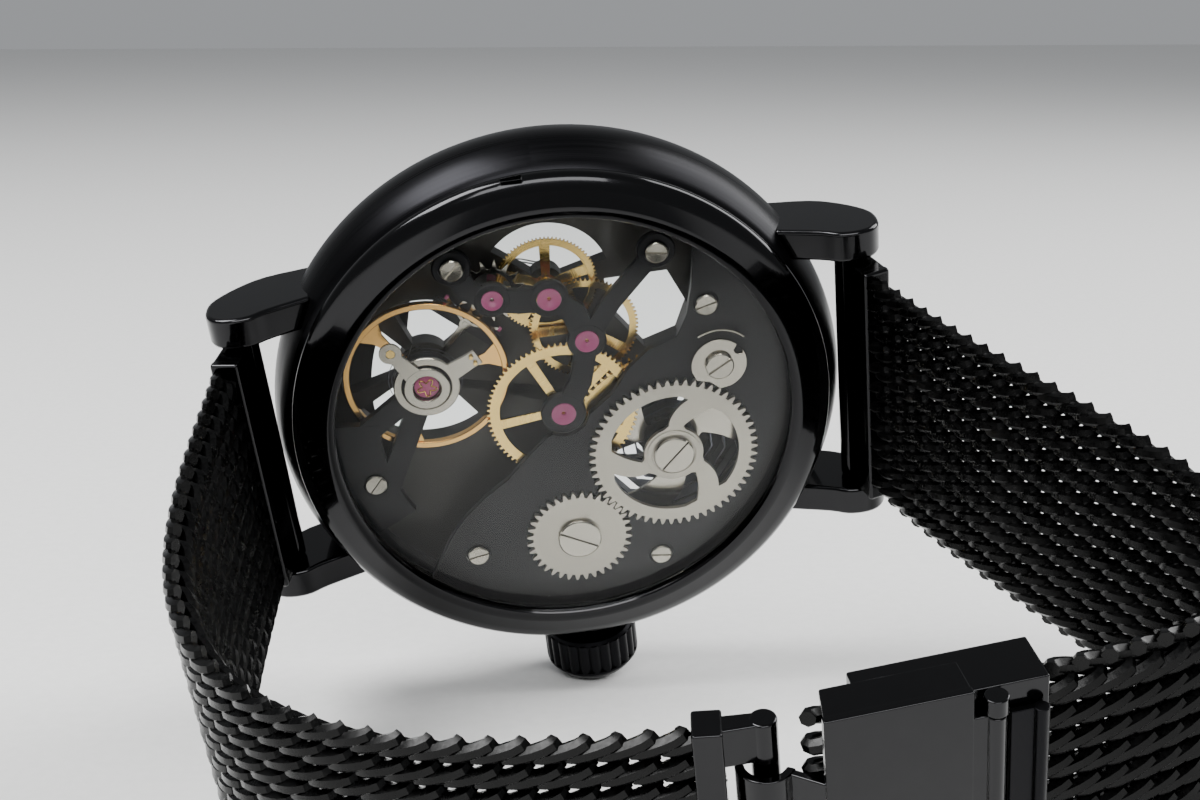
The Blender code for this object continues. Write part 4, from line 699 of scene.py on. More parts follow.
def piece(name, bm, look, body, nodes=(), centre=(0.0, 0.0, 0.0), bevel=0.04, cut=()):
    """A finished piece that rides on a body and stands for CAD nodes. cut shapes are taken away from it."""
    mesh = as_mesh(name, bm, centre)
    mesh.materials.append(look)
    obj = bpy.data.objects.new(name, mesh)
    bpy.context.scene.collection.objects.link(obj)
    if cut:
        take_away(obj, cut, centre)
    obj.data.shade_smooth()
    obj.data.set_sharp_from_angle(angle=SHARP_ANGLE)
    if bevel:
        soften(obj, bevel, harden=True)
    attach(obj, body)
    if nodes:
        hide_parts(*nodes)


def dress(name, look, bevel=0.03):
    """A CAD node shown as it is, with a finer finish and softened edges."""
    obj = frame["nodes"][name]
    obj.data.materials.clear()
    obj.data.materials.append(look)
    soften(obj, bevel)


def link_all(class_list, undo=False):
    for cls in class_list:
        (bpy.utils.unregister_class if undo else bpy.utils.register_class)(cls)


# Case


CASE_RADIUS = 22.0
CASE_BULGE = 2.2
CASE_HALF_HEIGHT = 4.5
CASE_FLOOR = 1.85
CASE_TOP = 9.3
BEZEL_FOOT = 9.42


def barrel_radius(z):
    return CASE_RADIUS - CASE_BULGE * ((z - CASE_MIDDLE) / CASE_HALF_HEIGHT) ** 2


def rounded_lug(side_x, side_y):
    """A lug drooping towards the wrist: a thick bar whose root is buried in the case wall."""
    knots = [
        (17.2, 2.9),
        (20.3, 1.75),
        (21.6, 1.05),
        (22.9, 0.88),
        (24.1, 1.2),
        (24.85, 2.1),
        (24.98, 3.4),
        (24.5, 4.7),
        (22.9, 6.3),
        (20.8, 7.5),
        (17.2, 8.2),
    ]
    outline = [(side_y * y, z) for y, z in smooth_path(knots, 3)]
    inner, outer = side_x * 10.15, side_x * 12.6
    return along_x(plate([outline], min(inner, outer), max(inner, outer)))


def build_case(m):
    heights = np.linspace(CASE_FLOOR, CASE_TOP, 33)
    profile = [(19.7, 1.95), (barrel_radius(CASE_FLOOR) - 0.12, CASE_FLOOR)]
    profile += [(barrel_radius(z), z) for z in heights[1:-1]]
    profile += [(barrel_radius(CASE_TOP) - 0.12, CASE_TOP), (19.7, 9.2)]
    piece(
        "case_barrel",
        lathe(profile, 192),
        m["satin"],
        "case",
        ["mid_case"],
        bevel=0.05,
    )
    lugs = joined(*[rounded_lug(x, y) for x in (-1, 1) for y in (-1, 1)])
    piece("case_lugs", lugs, m["gloss"], "case", (), bevel=0.32)
    back = [
        (17.35, 0.42),
        (17.38, 0.16),
        (17.5, 0.03),
        (17.7, 0.0),
        (18.2, 0.02),
        (18.35, 0.1),
        (19.4, 0.42),
        (20.1, 0.75),
        (20.45, 1.05),
        (20.55, 1.3),
        (20.55, 1.6),
        (20.42, 1.75),
        (19.55, 1.78),
        (19.5, 3.2),
        (18.4, 3.2),
        (18.35, 0.5),
        (17.35, 0.5),
    ]
    notch = box((-21.5, 0.9, 0.55), (-20.15, 2.4, 1.5))
    piece(
        "case_back_ring",
        lathe(back, 192),
        m["gloss"],
        "case",
        ["case_back"],
        bevel=0.03,
        cut=[notch],
    )
    glass = [
        (0.0, 0.4), (17.15, 0.4), (17.2, 0.45), (17.2, 0.56), (18.28, 0.56), (18.28, 1.25), (0.0, 1.25)
    ]
    piece(
        "back_glass",
        lathe(glass, 128, ring=False),
        m["back_glass"],
        "case",
        ["back_crystal"],
        bevel=0,
    )
    piece(
        "back_seal",
        washer(19.78, 20.12, 1.8, 2.28, 96),
        m["rubber"],
        "case",
        ["back_gasket"],
    )
    edge = barrel_radius(CASE_TOP) - 0.05
    bezel = [(edge, BEZEL_FOOT)]
    for a in np.linspace(0.1, 1.45, 12):
        bezel.append((edge - 2.2 * (1 - math.cos(a)), BEZEL_FOOT + 1.85 * math.sin(a)))
    bezel += [(17.75, 11.28), (17.42, 11.0), (17.4, BEZEL_FOOT)]
    piece("bezel_ring", lathe(bezel, 192), m["gloss"], "case", ["bezel"], bevel=0.03)
    front = [(0.0, 10.16), (17.06, 10.16), (17.06, 11.0), (16.9, 11.2), (0.0, 11.24)]
    piece(
        "front_glass",
        lathe(front, 128, ring=False),
        m["front_glass"],
        "case",
        ["front_crystal"],
        bevel=0,
    )
    piece(
        "front_seal",
        washer(17.16, 17.34, 10.2, 10.9, 96),
        m["rubber"],
        "case",
        ["crystal_gasket"],
    )
    ring = [(18.38, 3.32), (19.55, 3.32), (19.55, 7.38), (18.38, 7.38)]
    stem_way = moved(along_x(rod(0.7, 17.0, 21.0, 24)), (0, 0, CASE_MIDDLE))
    piece(
        "movement_holder",
        lathe(ring, 128),
        m["bridge"],
        "case",
        ["movement_ring"],
        cut=[stem_way],
    )


def build_crown(m):
    start, rim, radius = 22.35, 25.7, 3.9
    flutes = []
    for k in range(144):
        angle = math.tau * k / 144
        wave = 0.5 + 0.5 * math.cos(24 * angle)
        size = radius - 0.02 - 0.24 * (1 - wave**0.5)
        flutes.append((size * math.cos(angle), size * math.sin(angle)))
    body = plate([flutes], start + 0.25, rim - 0.2)
    collar = lathe([(0.0, start), (3.55, start), (3.78, start + 0.35), (0.0, start + 0.35)], 72, ring=False)
    rise = np.linspace(0.0, math.pi / 2, 14)
    dome = [((radius - 0.17) * math.cos(a), rim - 0.3 + 2.0 * math.sin(a)) for a in rise]
    dome = lathe([(0.0, rim - 0.35), *dome[:-1], (0.0, dome[-1][1])], 72, ring=False)
    ring = lathe([(3.55, rim - 0.3), (3.86, rim - 0.3), (3.86, rim - 0.12), (3.55, rim + 0.1)], 72)
    hollow = rod(1.08, start - 1.0, 23.3, 40)
    whole = along_x(joined(body, dome, ring, collar))
    tool = moved(along_x(hollow), (0, 0, CASE_MIDDLE))
    piece(
        "crown_knob",
        moved(whole, (0, 0, CASE_MIDDLE)),
        m["satin"],
        "crown",
        ["crown"],
        bevel=0.05,
        cut=[tool],
    )
    sleeve = moved(along_x(washer(0.55, 0.9, 19.85, 22.9, 40)), (0, 0, CASE_MIDDLE))
    piece("crown_sleeve", sleeve, m["bright"], "case", ["crown_tube"])
    stem = [(0.0, 9.2), (0.3, 9.2), (0.3, 10.8), (0.45, 10.8), (0.45, 24.9), (0.0, 24.9)]
    clutch = along_x(plate([gear(14, 1.0, 0.13, 0.12, 0.6, 0.3)], 13.8, 15.2))
    shaft = along_x(lathe(stem, 32, ring=False))
    piece(
        "stem_and_clutch",
        moved(joined(shaft, clutch), (0, 0, CASE_MIDDLE)),
        m["bright"],
        "stem",
        ["winding_stem"],
        bevel=0.02,
    )


# Movement


def screw_shape(radius, depth, slot_deg):
    """A slotted screw with its head towards -Z: (shape, slot)."""
    head = [
        (0.0, 0.03),
        (radius * 0.6, 0.01),
        (radius - 0.1, 0.0),
        (radius, 0.07),
        (radius, 0.32),
        (radius * 0.5, 0.32),
        (radius * 0.5, depth),
        (0.0, depth),
    ]
    slot = plate([bar((-radius * 1.2, 0.0), (radius * 1.2, 0.0), radius * 0.085)], -0.2, 0.16)
    return lathe(head, 40, ring=False), moved(slot, (0, 0), slot_deg)


def put_screw(name, m, at, radius, top, depth, nodes=(), body="case"):
    shape, slot = screw_shape(radius, depth, at[2])
    place = (at[0], at[1], top)
    return piece(
        name,
        moved(shape, place),
        m["bright"],
        body,
        nodes,
        place,
        bevel=0.025,
        cut=[moved(slot, place)],
    )


def hull_outline(points, radius):
    """The outline of a smooth arm of this radius through a line of points."""
    left, right = [], []
    points = [Vector(p) for p in points]
    for k, point in enumerate(points):
        heading = (points[min(k + 1, len(points) - 1)] - points[max(k - 1, 0)]).normalized()
        side = Vector((-heading.y, heading.x)) * radius
        left.append(tuple(point + side))
        right.append(tuple(point - side))
    return left + right[::-1]


PLATE_RADIUS = 18.22
STEM_SLOT_HALF = 1.35
STEM_SLOT_END = 8.8


def build_plates(m):
    low, high = PLATE_LEVEL
    edge = math.degrees(math.asin(STEM_SLOT_HALF / PLATE_RADIUS))
    outline = arc(CENTRE, PLATE_RADIUS, edge, 360 - edge, 180)
    outline += [(STEM_SLOT_END, -STEM_SLOT_HALF), (STEM_SLOT_END, STEM_SLOT_HALF)]
    holes = [
        sector(FOURTH, 1.25, 4.9, 130, 255, 20),
        sector(BALANCE, 2.0, 6.6, -35, 60, 16),
        sector(BALANCE, 2.0, 6.6, 75, 140, 14),
        sector(BALANCE, 2.0, 5.6, 160, 235, 14),
        sector(BARREL, 2.2, 7.2, -80, 0, 14),
        sector(BARREL, 2.2, 7.2, 15, 75, 14),
        sector(BARREL, 2.2, 7.2, 200, 262, 14),
        [(-9.6, -4.4), (-6.6, -4.7), (-3.2, -7.0), (-4.0, -9.6), (-6.4, -10.6), (-9.6, -9.2)],
    ]
    cutters = [plate([hole], low - CUT_PAST, high + CUT_PAST) for hole in holes]
    cutters.append(bore(0.75, PLATE_LEVEL, CENTRE, 32))
    piece(
        "base_plate",
        plate([outline], low, high),
        m["plate"],
        "case",
        ["main_plate"],
        bevel=0.12,
        cut=cutters,
    )
    build_barrel_bridge(m)
    build_train_bridge(m)


def build_barrel_bridge(m):
    low, high = BRIDGE_LEVEL
    outline = arc(CENTRE, 18.1, -142, 42, 120)
    outline += [
        (10.0, 10.2),
        (8.2, 8.8),
        (6.6, 7.0),
        (5.2, 5.0),
        (3.6, 3.4),
        (1.9, 1.6),
        (0.3, -2.0),
        (-1.2, -3.9),
        (-3.2, -5.3),
        (-4.6, -7.0),
        (-5.4, -9.2),
        (-7.2, -10.1),
        (-9.5, -10.6),
    ]
    bores = ((5.4, BARREL, 96), (1.2, CROWN_WHEEL, 48), (1.95, CENTRE, 64), (0.65, CLICK, 48))
    cutters = [bore(radius, BRIDGE_LEVEL, at, steps) for radius, at, steps in bores]
    cutters += [countersink(1.0, low, 0.22, at[:2]) for at in BARREL_SCREWS]
    piece(
        "barrel_bridge_body",
        plate([outline], low, high),
        m["carved"],
        "case",
        ["barrel_bridge"],
        bevel=0.09,
        cut=cutters,
    )
    hub = moved(washer(1.0, 2.1, low + 0.05, high, 48), BARREL)
    arms = []
    for angle in (70, 190, 310):
        line = []
        for radius in (1.7, 2.7, 3.7, 4.7, 5.7):
            line.append(at_angle(BARREL, radius, angle + 22 * (radius - 1.9) / 3.8))
        arms.append(plate([hull_outline(line, 0.62)], low + 0.07, high - 0.02))
    piece("barrel_spider", joined(hub, *arms), m["bridge"], "case", (), BARREL, bevel=0.06)


def build_train_bridge(m):
    low, high = BRIDGE_LEVEL
    screws = [(x, y) for x, y, _ in TRAIN_SCREWS]
    arms = [
        ([CENTRE, (-2.6, -1.6), THIRD], 0.85),
        ([THIRD, (-8.6, -1.7), FOURTH], 0.95),
        ([FOURTH, (-10.1, 2.1), ESCAPE], 0.95),
        ([THIRD, (-9.0, -4.6), screws[0]], 0.72),
        ([ESCAPE, (-11.6, 5.9), screws[1]], 0.85),
    ]
    shapes = []
    for k, (line, half) in enumerate(arms):
        shapes.append(plate([hull_outline(line, half)], low + 0.03 + 0.01 * k, high - 0.01 * k))
    bosses = [
        (CENTRE, 1.75), (THIRD, 1.5), (FOURTH, 1.5), (ESCAPE, 1.4), (screws[0], 1.45), (screws[1], 1.45)
    ]
    for at, radius in bosses:
        rim = [
            (0.0, low + 0.02),
            (radius - 0.12, low + 0.02),
            (radius, low + 0.14),
            (radius, high),
            (0.0, high),
        ]
        shapes.append(moved(lathe(rim, 48, ring=False), at))
    seats = [(CENTRE, 1.0), (THIRD, 0.95), (FOURTH, 0.95), (ESCAPE, 0.85)]
    cutters = [bore(radius, BRIDGE_LEVEL, at) for at, radius in seats]
    cutters += [countersink(0.98, low, 0.2, at, 40) for at in screws]
    piece(
        "train_bridge_body",
        joined(*shapes),
        m["bridge"],
        "case",
        ["train_bridge"],
        bevel=0,
        cut=cutters,
    )
    for name, at, radius in (
        ("centre", CENTRE, 0.95), ("third", THIRD, 0.9), ("fourth", FOURTH, 0.9), ("escape", ESCAPE, 0.8)
    ):
        dished = [
            (0.16, low + 0.16),
            (0.3, low + 0.1),
            (radius * 0.55, low + 0.05),
            (radius * 0.72, low),
            (radius, low),
            (radius, low + 0.34),
            (0.16, low + 0.34),
        ]
        piece(
            f"jewel_{name}_stone",
            moved(lathe(dished, 48), at),
            m["ruby"],
            "case",
            [f"jewel_{name}"],
            at,
            bevel=0.015,
        )


def build_screws(m):
    """The bridge screws: those with a CAD node stand for it, and the others are small trim."""
    top = BRIDGE_LEVEL[0] - SCREW_HEAD
    nodes = {0: ["barrel_bridge_screw"]}
    for k, at in enumerate(BARREL_SCREWS):
        put_screw(f"barrel_screw_{k + 1}", m, at, 0.85, top, 0.85, nodes.get(k, ()))
    nodes = {0: ["train_bridge_screw"]}
    for k, at in enumerate(TRAIN_SCREWS):
        put_screw(f"train_screw_{k + 1}", m, at, 0.85, top, 0.85, nodes.get(k, ()))
    put_screw("cock_screw_head", m, COCK_SCREW, 0.85, COCK_LEVEL[0] - SCREW_HEAD, 1.1, ["cock_screw"])


def build_winding(m):
    low, high = WINDING_LEVEL
    ratchet_radius, crown_radius, module, phase = gear_pair(BARREL, CROWN_WHEEL, 58, 36)
    teeth = gear(58, ratchet_radius, module * 1.1, module * 1.25, 0.66, 0.2)
    windows = [swirl(2.35, 5.15, start, start + 96, 26) for start in (78, 198, 318)]
    wheel = plate([teeth, *windows, circle((0, 0), 0.8)], low, high)
    lip = washer(1.75, 2.15, low - 0.06, low + 0.1, 64)
    piece(
        "ratchet_gear",
        moved(joined(wheel, lip), BARREL),
        m["steel"],
        "ratchet",
        ["ratchet_wheel"],
        BARREL,
        bevel=0.03,
    )
    put_screw(
        "ratchet_screw_head", m, (*BARREL, 45), 1.6, low - SCREW_HEAD, 0.33, ["ratchet_screw"], body="ratchet"
    )
    teeth = gear(36, crown_radius, module * 1.1, module * 1.25, 0.66, 0.2, phase)
    wheel = plate([teeth, circle((0, 0), 1.0)], low, high)
    piece(
        "crown_gear",
        moved(wheel, CROWN_WHEEL),
        m["steel"],
        "crown_wheel",
        ["crown_wheel"],
        CROWN_WHEEL,
        bevel=0.03,
    )
    put_screw("crown_gear_screw", m, (*CROWN_WHEEL, 120), 1.72, low - SCREW_HEAD, 0.95, ["crown_wheel_screw"])
    heading = math.degrees(math.atan2(BARREL[1] - CLICK[1], BARREL[0] - CLICK[0]))
    nose = math.dist(CLICK, BARREL) - (ratchet_radius + module * 1.1) - 0.12
    fan = [(nose, 0.05), (nose, -0.05), (1.9, -1.0)]
    fan += arc((0, 0), 2.15, -50, -150, 12)
    fan += arc((-1.75, -0.9), 0.42, -60, 60, 8)
    fan += arc((0, 0), 2.15, -165, -310, 18)
    fan += [(1.9, 1.0)]
    shape = moved(plate([fan, circle((0, 0), 0.62)], low, high), CLICK, heading)
    piece("click_pawl", shape, m["bright"], "click", ["click"], CLICK, bevel=0.05)
    put_screw("click_screw_head", m, (*CLICK, 60), 1.1, low - SCREW_HEAD, 0.95, ["click_screw"])
    wire = [(x, y, (low + high) / 2) for x, y in arc(CLICK, 2.9, 150, 225, 24)]
    piece("click_wire", tube(wire, 0.09, 8), m["bright"], "case", ["click_spring"], bevel=0)


def spoked(
    name,
    m,
    at,
    body,
    node_name,
    teeth_outline,
    faces,
    hub,
    spokes,
    start_deg,
    look,
    pinion=None,
    arbor=None,
    rim=0.55,
):
    """A spoked wheel with its pinion and arbor."""
    inner = min(math.hypot(*p) for p in teeth_outline) - rim
    gap = 360 / spokes
    half = math.degrees(0.26 / ((hub + inner) / 2))
    windows = []
    for k in range(spokes):
        first, last = start_deg + k * gap, start_deg + (k + 1) * gap
        flare = math.degrees(0.45 / hub) * 0.5
        outer = arc((0, 0), inner, first + half, last - half, 12)
        inside = arc((0, 0), hub, last - flare - half, first + flare + half, 8)
        windows.append(outer + inside)
    shapes = [plate([teeth_outline, *windows], *faces)]
    if arbor:
        shapes.append(rod(0.3, arbor[0], arbor[1], 24))
        shapes.append(rod(0.55, faces[0] - 0.12, faces[0], 24))
    piece(name, moved(joined(*shapes), at), m[look], body, [node_name], at, bevel=0.02)
    if pinion:
        outline, pinion_level = pinion
        leaves = moved(plate([outline], *pinion_level), at)
        piece(name + "_pinion", leaves, m["bright"], body, (), at, bevel=0.015)


def fine_pair(first, second, first_teeth, second_teeth):
    big, small, module, phase = gear_pair(first, second, first_teeth, second_teeth)
    wheel = gear(first_teeth, big, module * 0.8, module * 1.0, 0.55, 0.2)
    pinion = gear(second_teeth, small, module * 0.62, module * 1.15, 0.34, 0.12, phase)
    return wheel, pinion


def build_train(m):
    barrel_teeth, centre_pinion = fine_pair(BARREL, CENTRE, 80, 10)
    centre_teeth, third_pinion = fine_pair(CENTRE, THIRD, 80, 10)
    third_teeth, fourth_pinion = fine_pair(THIRD, FOURTH, 75, 10)
    fourth_teeth, escape_pinion = fine_pair(FOURTH, ESCAPE, 80, 8)
    spoked(
        "centre_gear",
        m,
        CENTRE,
        "centre",
        "centre_wheel",
        centre_teeth,
        (2.7, 2.88),
        1.5,
        5,
        12,
        "brass",
        (centre_pinion, (2.9, 3.6)),
        (2.48, 8.6),
        0.75,
    )
    spoked(
        "third_gear",
        m,
        THIRD,
        "third",
        "third_wheel",
        third_teeth,
        (4.3, 4.46),
        0.95,
        5,
        20,
        "brass",
        (third_pinion, (2.66, 3.1)),
        (2.48, 5.4),
        0.5,
    )
    spoked(
        "fourth_gear",
        m,
        FOURTH,
        "fourth",
        "fourth_wheel",
        fourth_teeth,
        (4.62, 4.78),
        0.85,
        5,
        40,
        "brass",
        (fourth_pinion, (4.15, 4.58)),
        (2.48, 7.97),
        0.5,
    )
    drum = [
        (1.15, 3.3),
        (7.42, 3.3),
        (7.5, 3.4),
        (7.5, 4.8),
        (7.42, 4.85),
        (7.15, 4.85),
        (7.15, 3.55),
        (1.15, 3.55),
    ]
    windows = [
        moved(plate([swirl(2.3, 6.2, start, start + 84, 30)], 2.0, 4.2), BARREL) for start in (14, 134, 254)
    ]
    piece(
        "barrel_drum",
        moved(lathe(drum, 96), BARREL),
        m["bright"],
        "barrel",
        ["barrel"],
        BARREL,
        bevel=0.04,
        cut=windows,
    )
    rim = plate([barrel_teeth, circle((0, 0), 6.9, 72)], 3.05, 3.45)
    piece("barrel_teeth", moved(rim, BARREL), m["brass"], "barrel", (), BARREL, bevel=0.02)
    for name in ("barrel_arbor", "mainspring"):
        dress(name, m["spring" if name == "mainspring" else "bright"])
    outline = []
    for k in range(15):
        for radius, share in (
            (ESCAPE_RADIUS, 0.0), (2.52, 0.1), (2.2, 0.22), (1.82, 0.42), (1.85, 0.8), (2.15, 0.93)
        ):
            angle = (k + share) * math.tau / 15
            outline.append((radius * math.cos(angle), radius * math.sin(angle)))
    spoked(
        "escape_gear",
        m,
        ESCAPE,
        "escape",
        "escape_wheel",
        outline,
        (3.72, 3.88),
        0.6,
        4,
        10,
        "bright",
        (escape_pinion, (4.56, 4.84)),
        (2.48, 5.4),
        0.3,
    )


def build_balance(m):
    low, high = COCK_LEVEL
    rim_low, rim_high = BALANCE_LEVEL
    rim = [
        (5.78, rim_low + 0.05),
        (5.85, rim_low),
        (6.22, rim_low),
        (6.3, rim_low + 0.08),
        (6.3, rim_high - 0.08),
        (6.22, rim_high),
        (5.85, rim_high),
        (5.78, rim_high - 0.05),
    ]
    shapes = [lathe(rim, 120), rod(0.75, rim_low + 0.1, rim_high - 0.1, 32)]
    for angle in (20, 140, 260):
        tip = 5.95
        outline = [
            (0.3, 0.4),
            (0.3, -0.4),
            (3.4, -0.24),
            (4.8, -0.5),
            (tip, -1.25),
            (tip, 1.25),
            (4.8, 0.5),
            (3.4, 0.24),
        ]
        shapes.append(moved(plate([outline], rim_low + 0.17, rim_high - 0.17), (0, 0), angle))
    piece(
        "balance_rim",
        moved(joined(*shapes), BALANCE),
        m["gold"],
        "balance",
        ["balance_wheel"],
        BALANCE,
        bevel=0.03,
    )
    piece(
        "balance_staff",
        moved(rod(0.28, 2.05, 5.38, 24), BALANCE),
        m["bright"],
        "balance",
        (),
        BALANCE,
        bevel=0.02,
    )
    coil = []
    for share in np.linspace(0.0, 1.0, 330):
        radius = 0.85 + 2.05 * share
        angle = math.tau * 8.5 * share
        coil.append((radius * math.cos(angle) + BALANCE[0], radius * math.sin(angle) + BALANCE[1], 2.78))
    piece(
        "balance_hairspring",
        tube(coil, 0.03, 5),
        m["spring"],
        "balance",
        ["hairspring"],
        bevel=0,
    )
    disc = [(0.0, low), (2.3, low), (2.42, low + 0.12), (2.42, high), (0.0, high)]
    foot = plate([sector(CENTRE, 14.1, 17.6, 62, 96, 24)], low, high)
    arms = []
    for anchor in (at_angle(CENTRE, 15.0, 72), at_angle(CENTRE, 15.2, 93)):
        middle = (Vector(BALANCE) + Vector(anchor)) / 2
        arms.append(plate([hull_outline([BALANCE, tuple(middle), anchor], 0.85)], low + 0.02, high - 0.02))
    piece(
        "balance_bridge",
        joined(moved(lathe(disc, 64, ring=False), BALANCE), foot, *arms),
        m["bridge"],
        "case",
        ["balance_cock"],
        bevel=0,
        cut=[bore(1.05, COCK_LEVEL, BALANCE), countersink(1.0, low, 0.2, COCK_SCREW[:2])],
    )
    build_regulator(m)
    at = pallet_pivot()
    heading = math.degrees(math.atan2(BALANCE[1] - at[1], BALANCE[0] - at[0]))
    reach = math.dist(at, BALANCE) - 1.15
    shapes = [rod(0.45, 3.72, 3.88, 24), rod(0.19, 3.67, 5.3, 16)]
    shapes.append(plate([bar((0.0, 0.0), (reach - 0.5, 0.0), 0.13, 0.26)], *PALLET_LEVEL))
    fork = sector((reach - 0.1, 0.0), 0.33, 0.55, 110, 250, 12)
    shapes.append(plate([fork], *PALLET_LEVEL))
    stones = []
    for side in (-1, 1):
        tip = (-PALLET_DISTANCE * 0.5 + 0.6, side * ESCAPE_RADIUS * 0.95)
        shapes.append(plate([bar((0.0, 0.0), tip, 0.13)], *PALLET_LEVEL))
        stones.append(box((tip[0] - 0.16, tip[1] - 0.14, 3.7), (tip[0] + 0.16, tip[1] + 0.1, 3.9)))
    piece(
        "pallet_lever",
        moved(joined(*shapes), at, heading),
        m["bright"],
        "pallet_fork",
        ["pallet_fork"],
        at,
        bevel=0.015,
    )
    piece(
        "pallet_stones",
        moved(joined(*stones), at, heading),
        m["ruby"],
        "pallet_fork",
        (),
        at,
        bevel=0.01,
    )
    dress("pallet_bridge", m["bridge"])


def pallet_pivot():
    heading = (Vector(BALANCE) - Vector(ESCAPE)).normalized()
    return tuple(Vector(ESCAPE) + heading * PALLET_DISTANCE)


def build_regulator(m):
    low, high = REGULATOR_LEVEL
    ring = [(1.86, low + 0.05), (1.92, low), (2.42, low), (2.5, low + 0.07), (2.5, high), (1.86, high)]
    pins = Vector(REGULATOR_PINS) - Vector(BALANCE)
    heading = math.degrees(math.atan2(pins.y, pins.x))
    length = pins.length
    arm = [
        (2.2, 0.75),
        (2.2, -0.75),
        (length - 0.6, -0.62),
        (length + 0.1, -0.62),
        (length + 0.1, 0.62),
        (length - 0.6, 0.62),
    ]
    index = joined(lathe(ring, 72), moved(plate([arm], low + 0.01, high - 0.01), (0, 0), heading))
    piece(
        "index_ring",
        moved(index, BALANCE),
        m["bright"],
        "regulator",
        ["regulator_index"],
        BALANCE,
        bevel=0.03,
    )
    posts = [moved(rod(0.16, low - 0.2, high, 16), (length - 0.35, side * 0.3)) for side in (-1, 1)]
    piece(
        "index_pins",
        moved(joined(*posts), BALANCE, heading),
        m["brass"],
        "regulator",
        (),
        BALANCE,
        bevel=0.02,
    )
    inner = [
        (1.05, low - 0.2),
        (1.12, low - 0.25),
        (1.68, low - 0.25),
        (1.75, low - 0.2),
        (1.75, high),
        (1.05, high),
    ]
    stud = Vector(STUD) - Vector(BALANCE)
    turn = math.degrees(math.atan2(stud.y, stud.x))
    long = stud.length
    outline = [(1.3, 0.75), (1.3, -0.75), (long - 1.0, -0.5)]
    outline += arc((long - 0.3, 0.0), 0.85, -110, 110, 16)
    outline += [(long - 1.0, 0.5)]
    shape = joined(
        lathe(inner, 72),
        moved(plate([outline, circle((long - 0.3, 0.0), 0.36, 20)], low - 0.24, low - 0.01), (0, 0), turn),
    )
    piece(
        "stud_ring",
        moved(shape, BALANCE),
        m["bright"],
        "stud",
        ["stud_carrier"],
        BALANCE,
        bevel=0.03,
    )
    pin = at_angle(BALANCE, long - 0.3, turn)
    piece(
        "stud_screw",
        moved(rod(0.34, low - 0.22, low + 0.05, 24), pin),
        m["brass"],
        "stud",
        (),
        pin,
        bevel=0.03,
    )
    stone = [
        (0.0, low),
        (0.5, low),
        (0.92, low + 0.06),
        (0.95, low + 0.14),
        (0.95, high + 0.08),
        (0.0, high + 0.08),
    ]
    piece(
        "shock_stone",
        moved(lathe(stone, 48, ring=False), BALANCE),
        m["ruby"],
        "case",
        ["shock_jewel"],
        BALANCE,
        bevel=0,
    )
    petals = []
    for k in range(120):
        angle = math.tau * k / 120
        size = 0.55 + 0.2 * math.cos(5 * angle)
        petals.append(
            (BALANCE[0] + size * math.cos(angle), BALANCE[1] + size * math.sin(angle), low - 0.02)
        )
    piece(
        "shock_spring",
        tube(petals, 0.06, 6, closed=True),
        m["gold"],
        "case",
        (),
        BALANCE,
        bevel=0,
    )


def build_dial_side(m):
    ring = [(14.6, 7.52), (18.15, 7.52), (18.15, 7.86), (14.7, 7.88)]
    piece("dial_chapter_ring", lathe(ring, 160), m["dial"], "case", ["dial_ring"], bevel=0.04)
    marks = []
    for k in range(60):
        long = 1.9 if k % 5 == 0 else 0.8
        wide = 0.22 if k % 5 == 0 else 0.08
        marks.append(moved(box((17.0 - long, -wide, 7.84), (17.0, wide, 7.9)), (0, 0), 6 * k))
    piece("dial_minute_marks", joined(*marks), m["mark"], "case", (), bevel=0.01)
    for name, at, faces, long, tail, half, hub, hole, turn, body in (
        ("hour_hand", CENTRE, (8.3, 8.45), 8.4, 2.0, 0.55, 1.4, 0.68, 40, "hour_works"),
        ("minute_hand", CENTRE, (8.65, 8.8), 13.6, 2.4, 0.45, 1.15, 0.16, -62, "centre"),
        ("seconds_hand", FOURTH, (8.02, 8.14), 2.9, 1.0, 0.13, 0.4, 0.1, 110, "fourth"),
    ):
        blade = [
            (-tail, 0.0),
            (-hub * 0.5, -half),
            (long * 0.55, -half * 1.2),
            (long, 0.0),
            (long * 0.55, half * 1.2),
            (-hub * 0.5, half),
        ]
        window = [
            (hub * 1.2, -half * 0.35),
            (long * 0.55, -half * 0.6),
            (long * 0.8, 0.0),
            (long * 0.55, half * 0.6),
            (hub * 1.2, half * 0.35),
        ]
        shape = joined(
            washer(hole, hub, *faces, 40), plate([blade, window], faces[0] + 0.01, faces[1] - 0.01)
        )
        piece(
            name + "_blade",
            moved(shape, at, turn),
            m["mark"],
            body,
            [name],
            at,
            bevel=0.02,
            cut=[bore(hole, faces, at, 32)],
        )
    for name in ("cannon_pinion", "minute_wheel"):
        dress(name, m["bright"])
    dress("hour_wheel", m["brass"])


# Strap and clasp: points are (y, z) in the plane of the loop.

# Each half leaves its lug leaning outwards and meets the clasp at the clasp's tilt. A reach is how strongly
# that end of the curve holds its heading.
STRAP_START = (BAR_Y + 1.25, BAR_Z - 4.4)
STRAP_12_LEAN = 6.0
STRAP_12_REACHES = (21.0, 34.0)
STRAP_12_END = (-2.8, -46.0)
STRAP_6_LEAN = 16.0
STRAP_6_REACHES = (24.0, 29.0)
CLASP_START = (-21.6, -45.6)
CLASP_LENGTH = 11.4
CLASP_TILT = 4.0
HOOK_BAR = (-6.6, -46.3)
STRAP_STEPS = 80


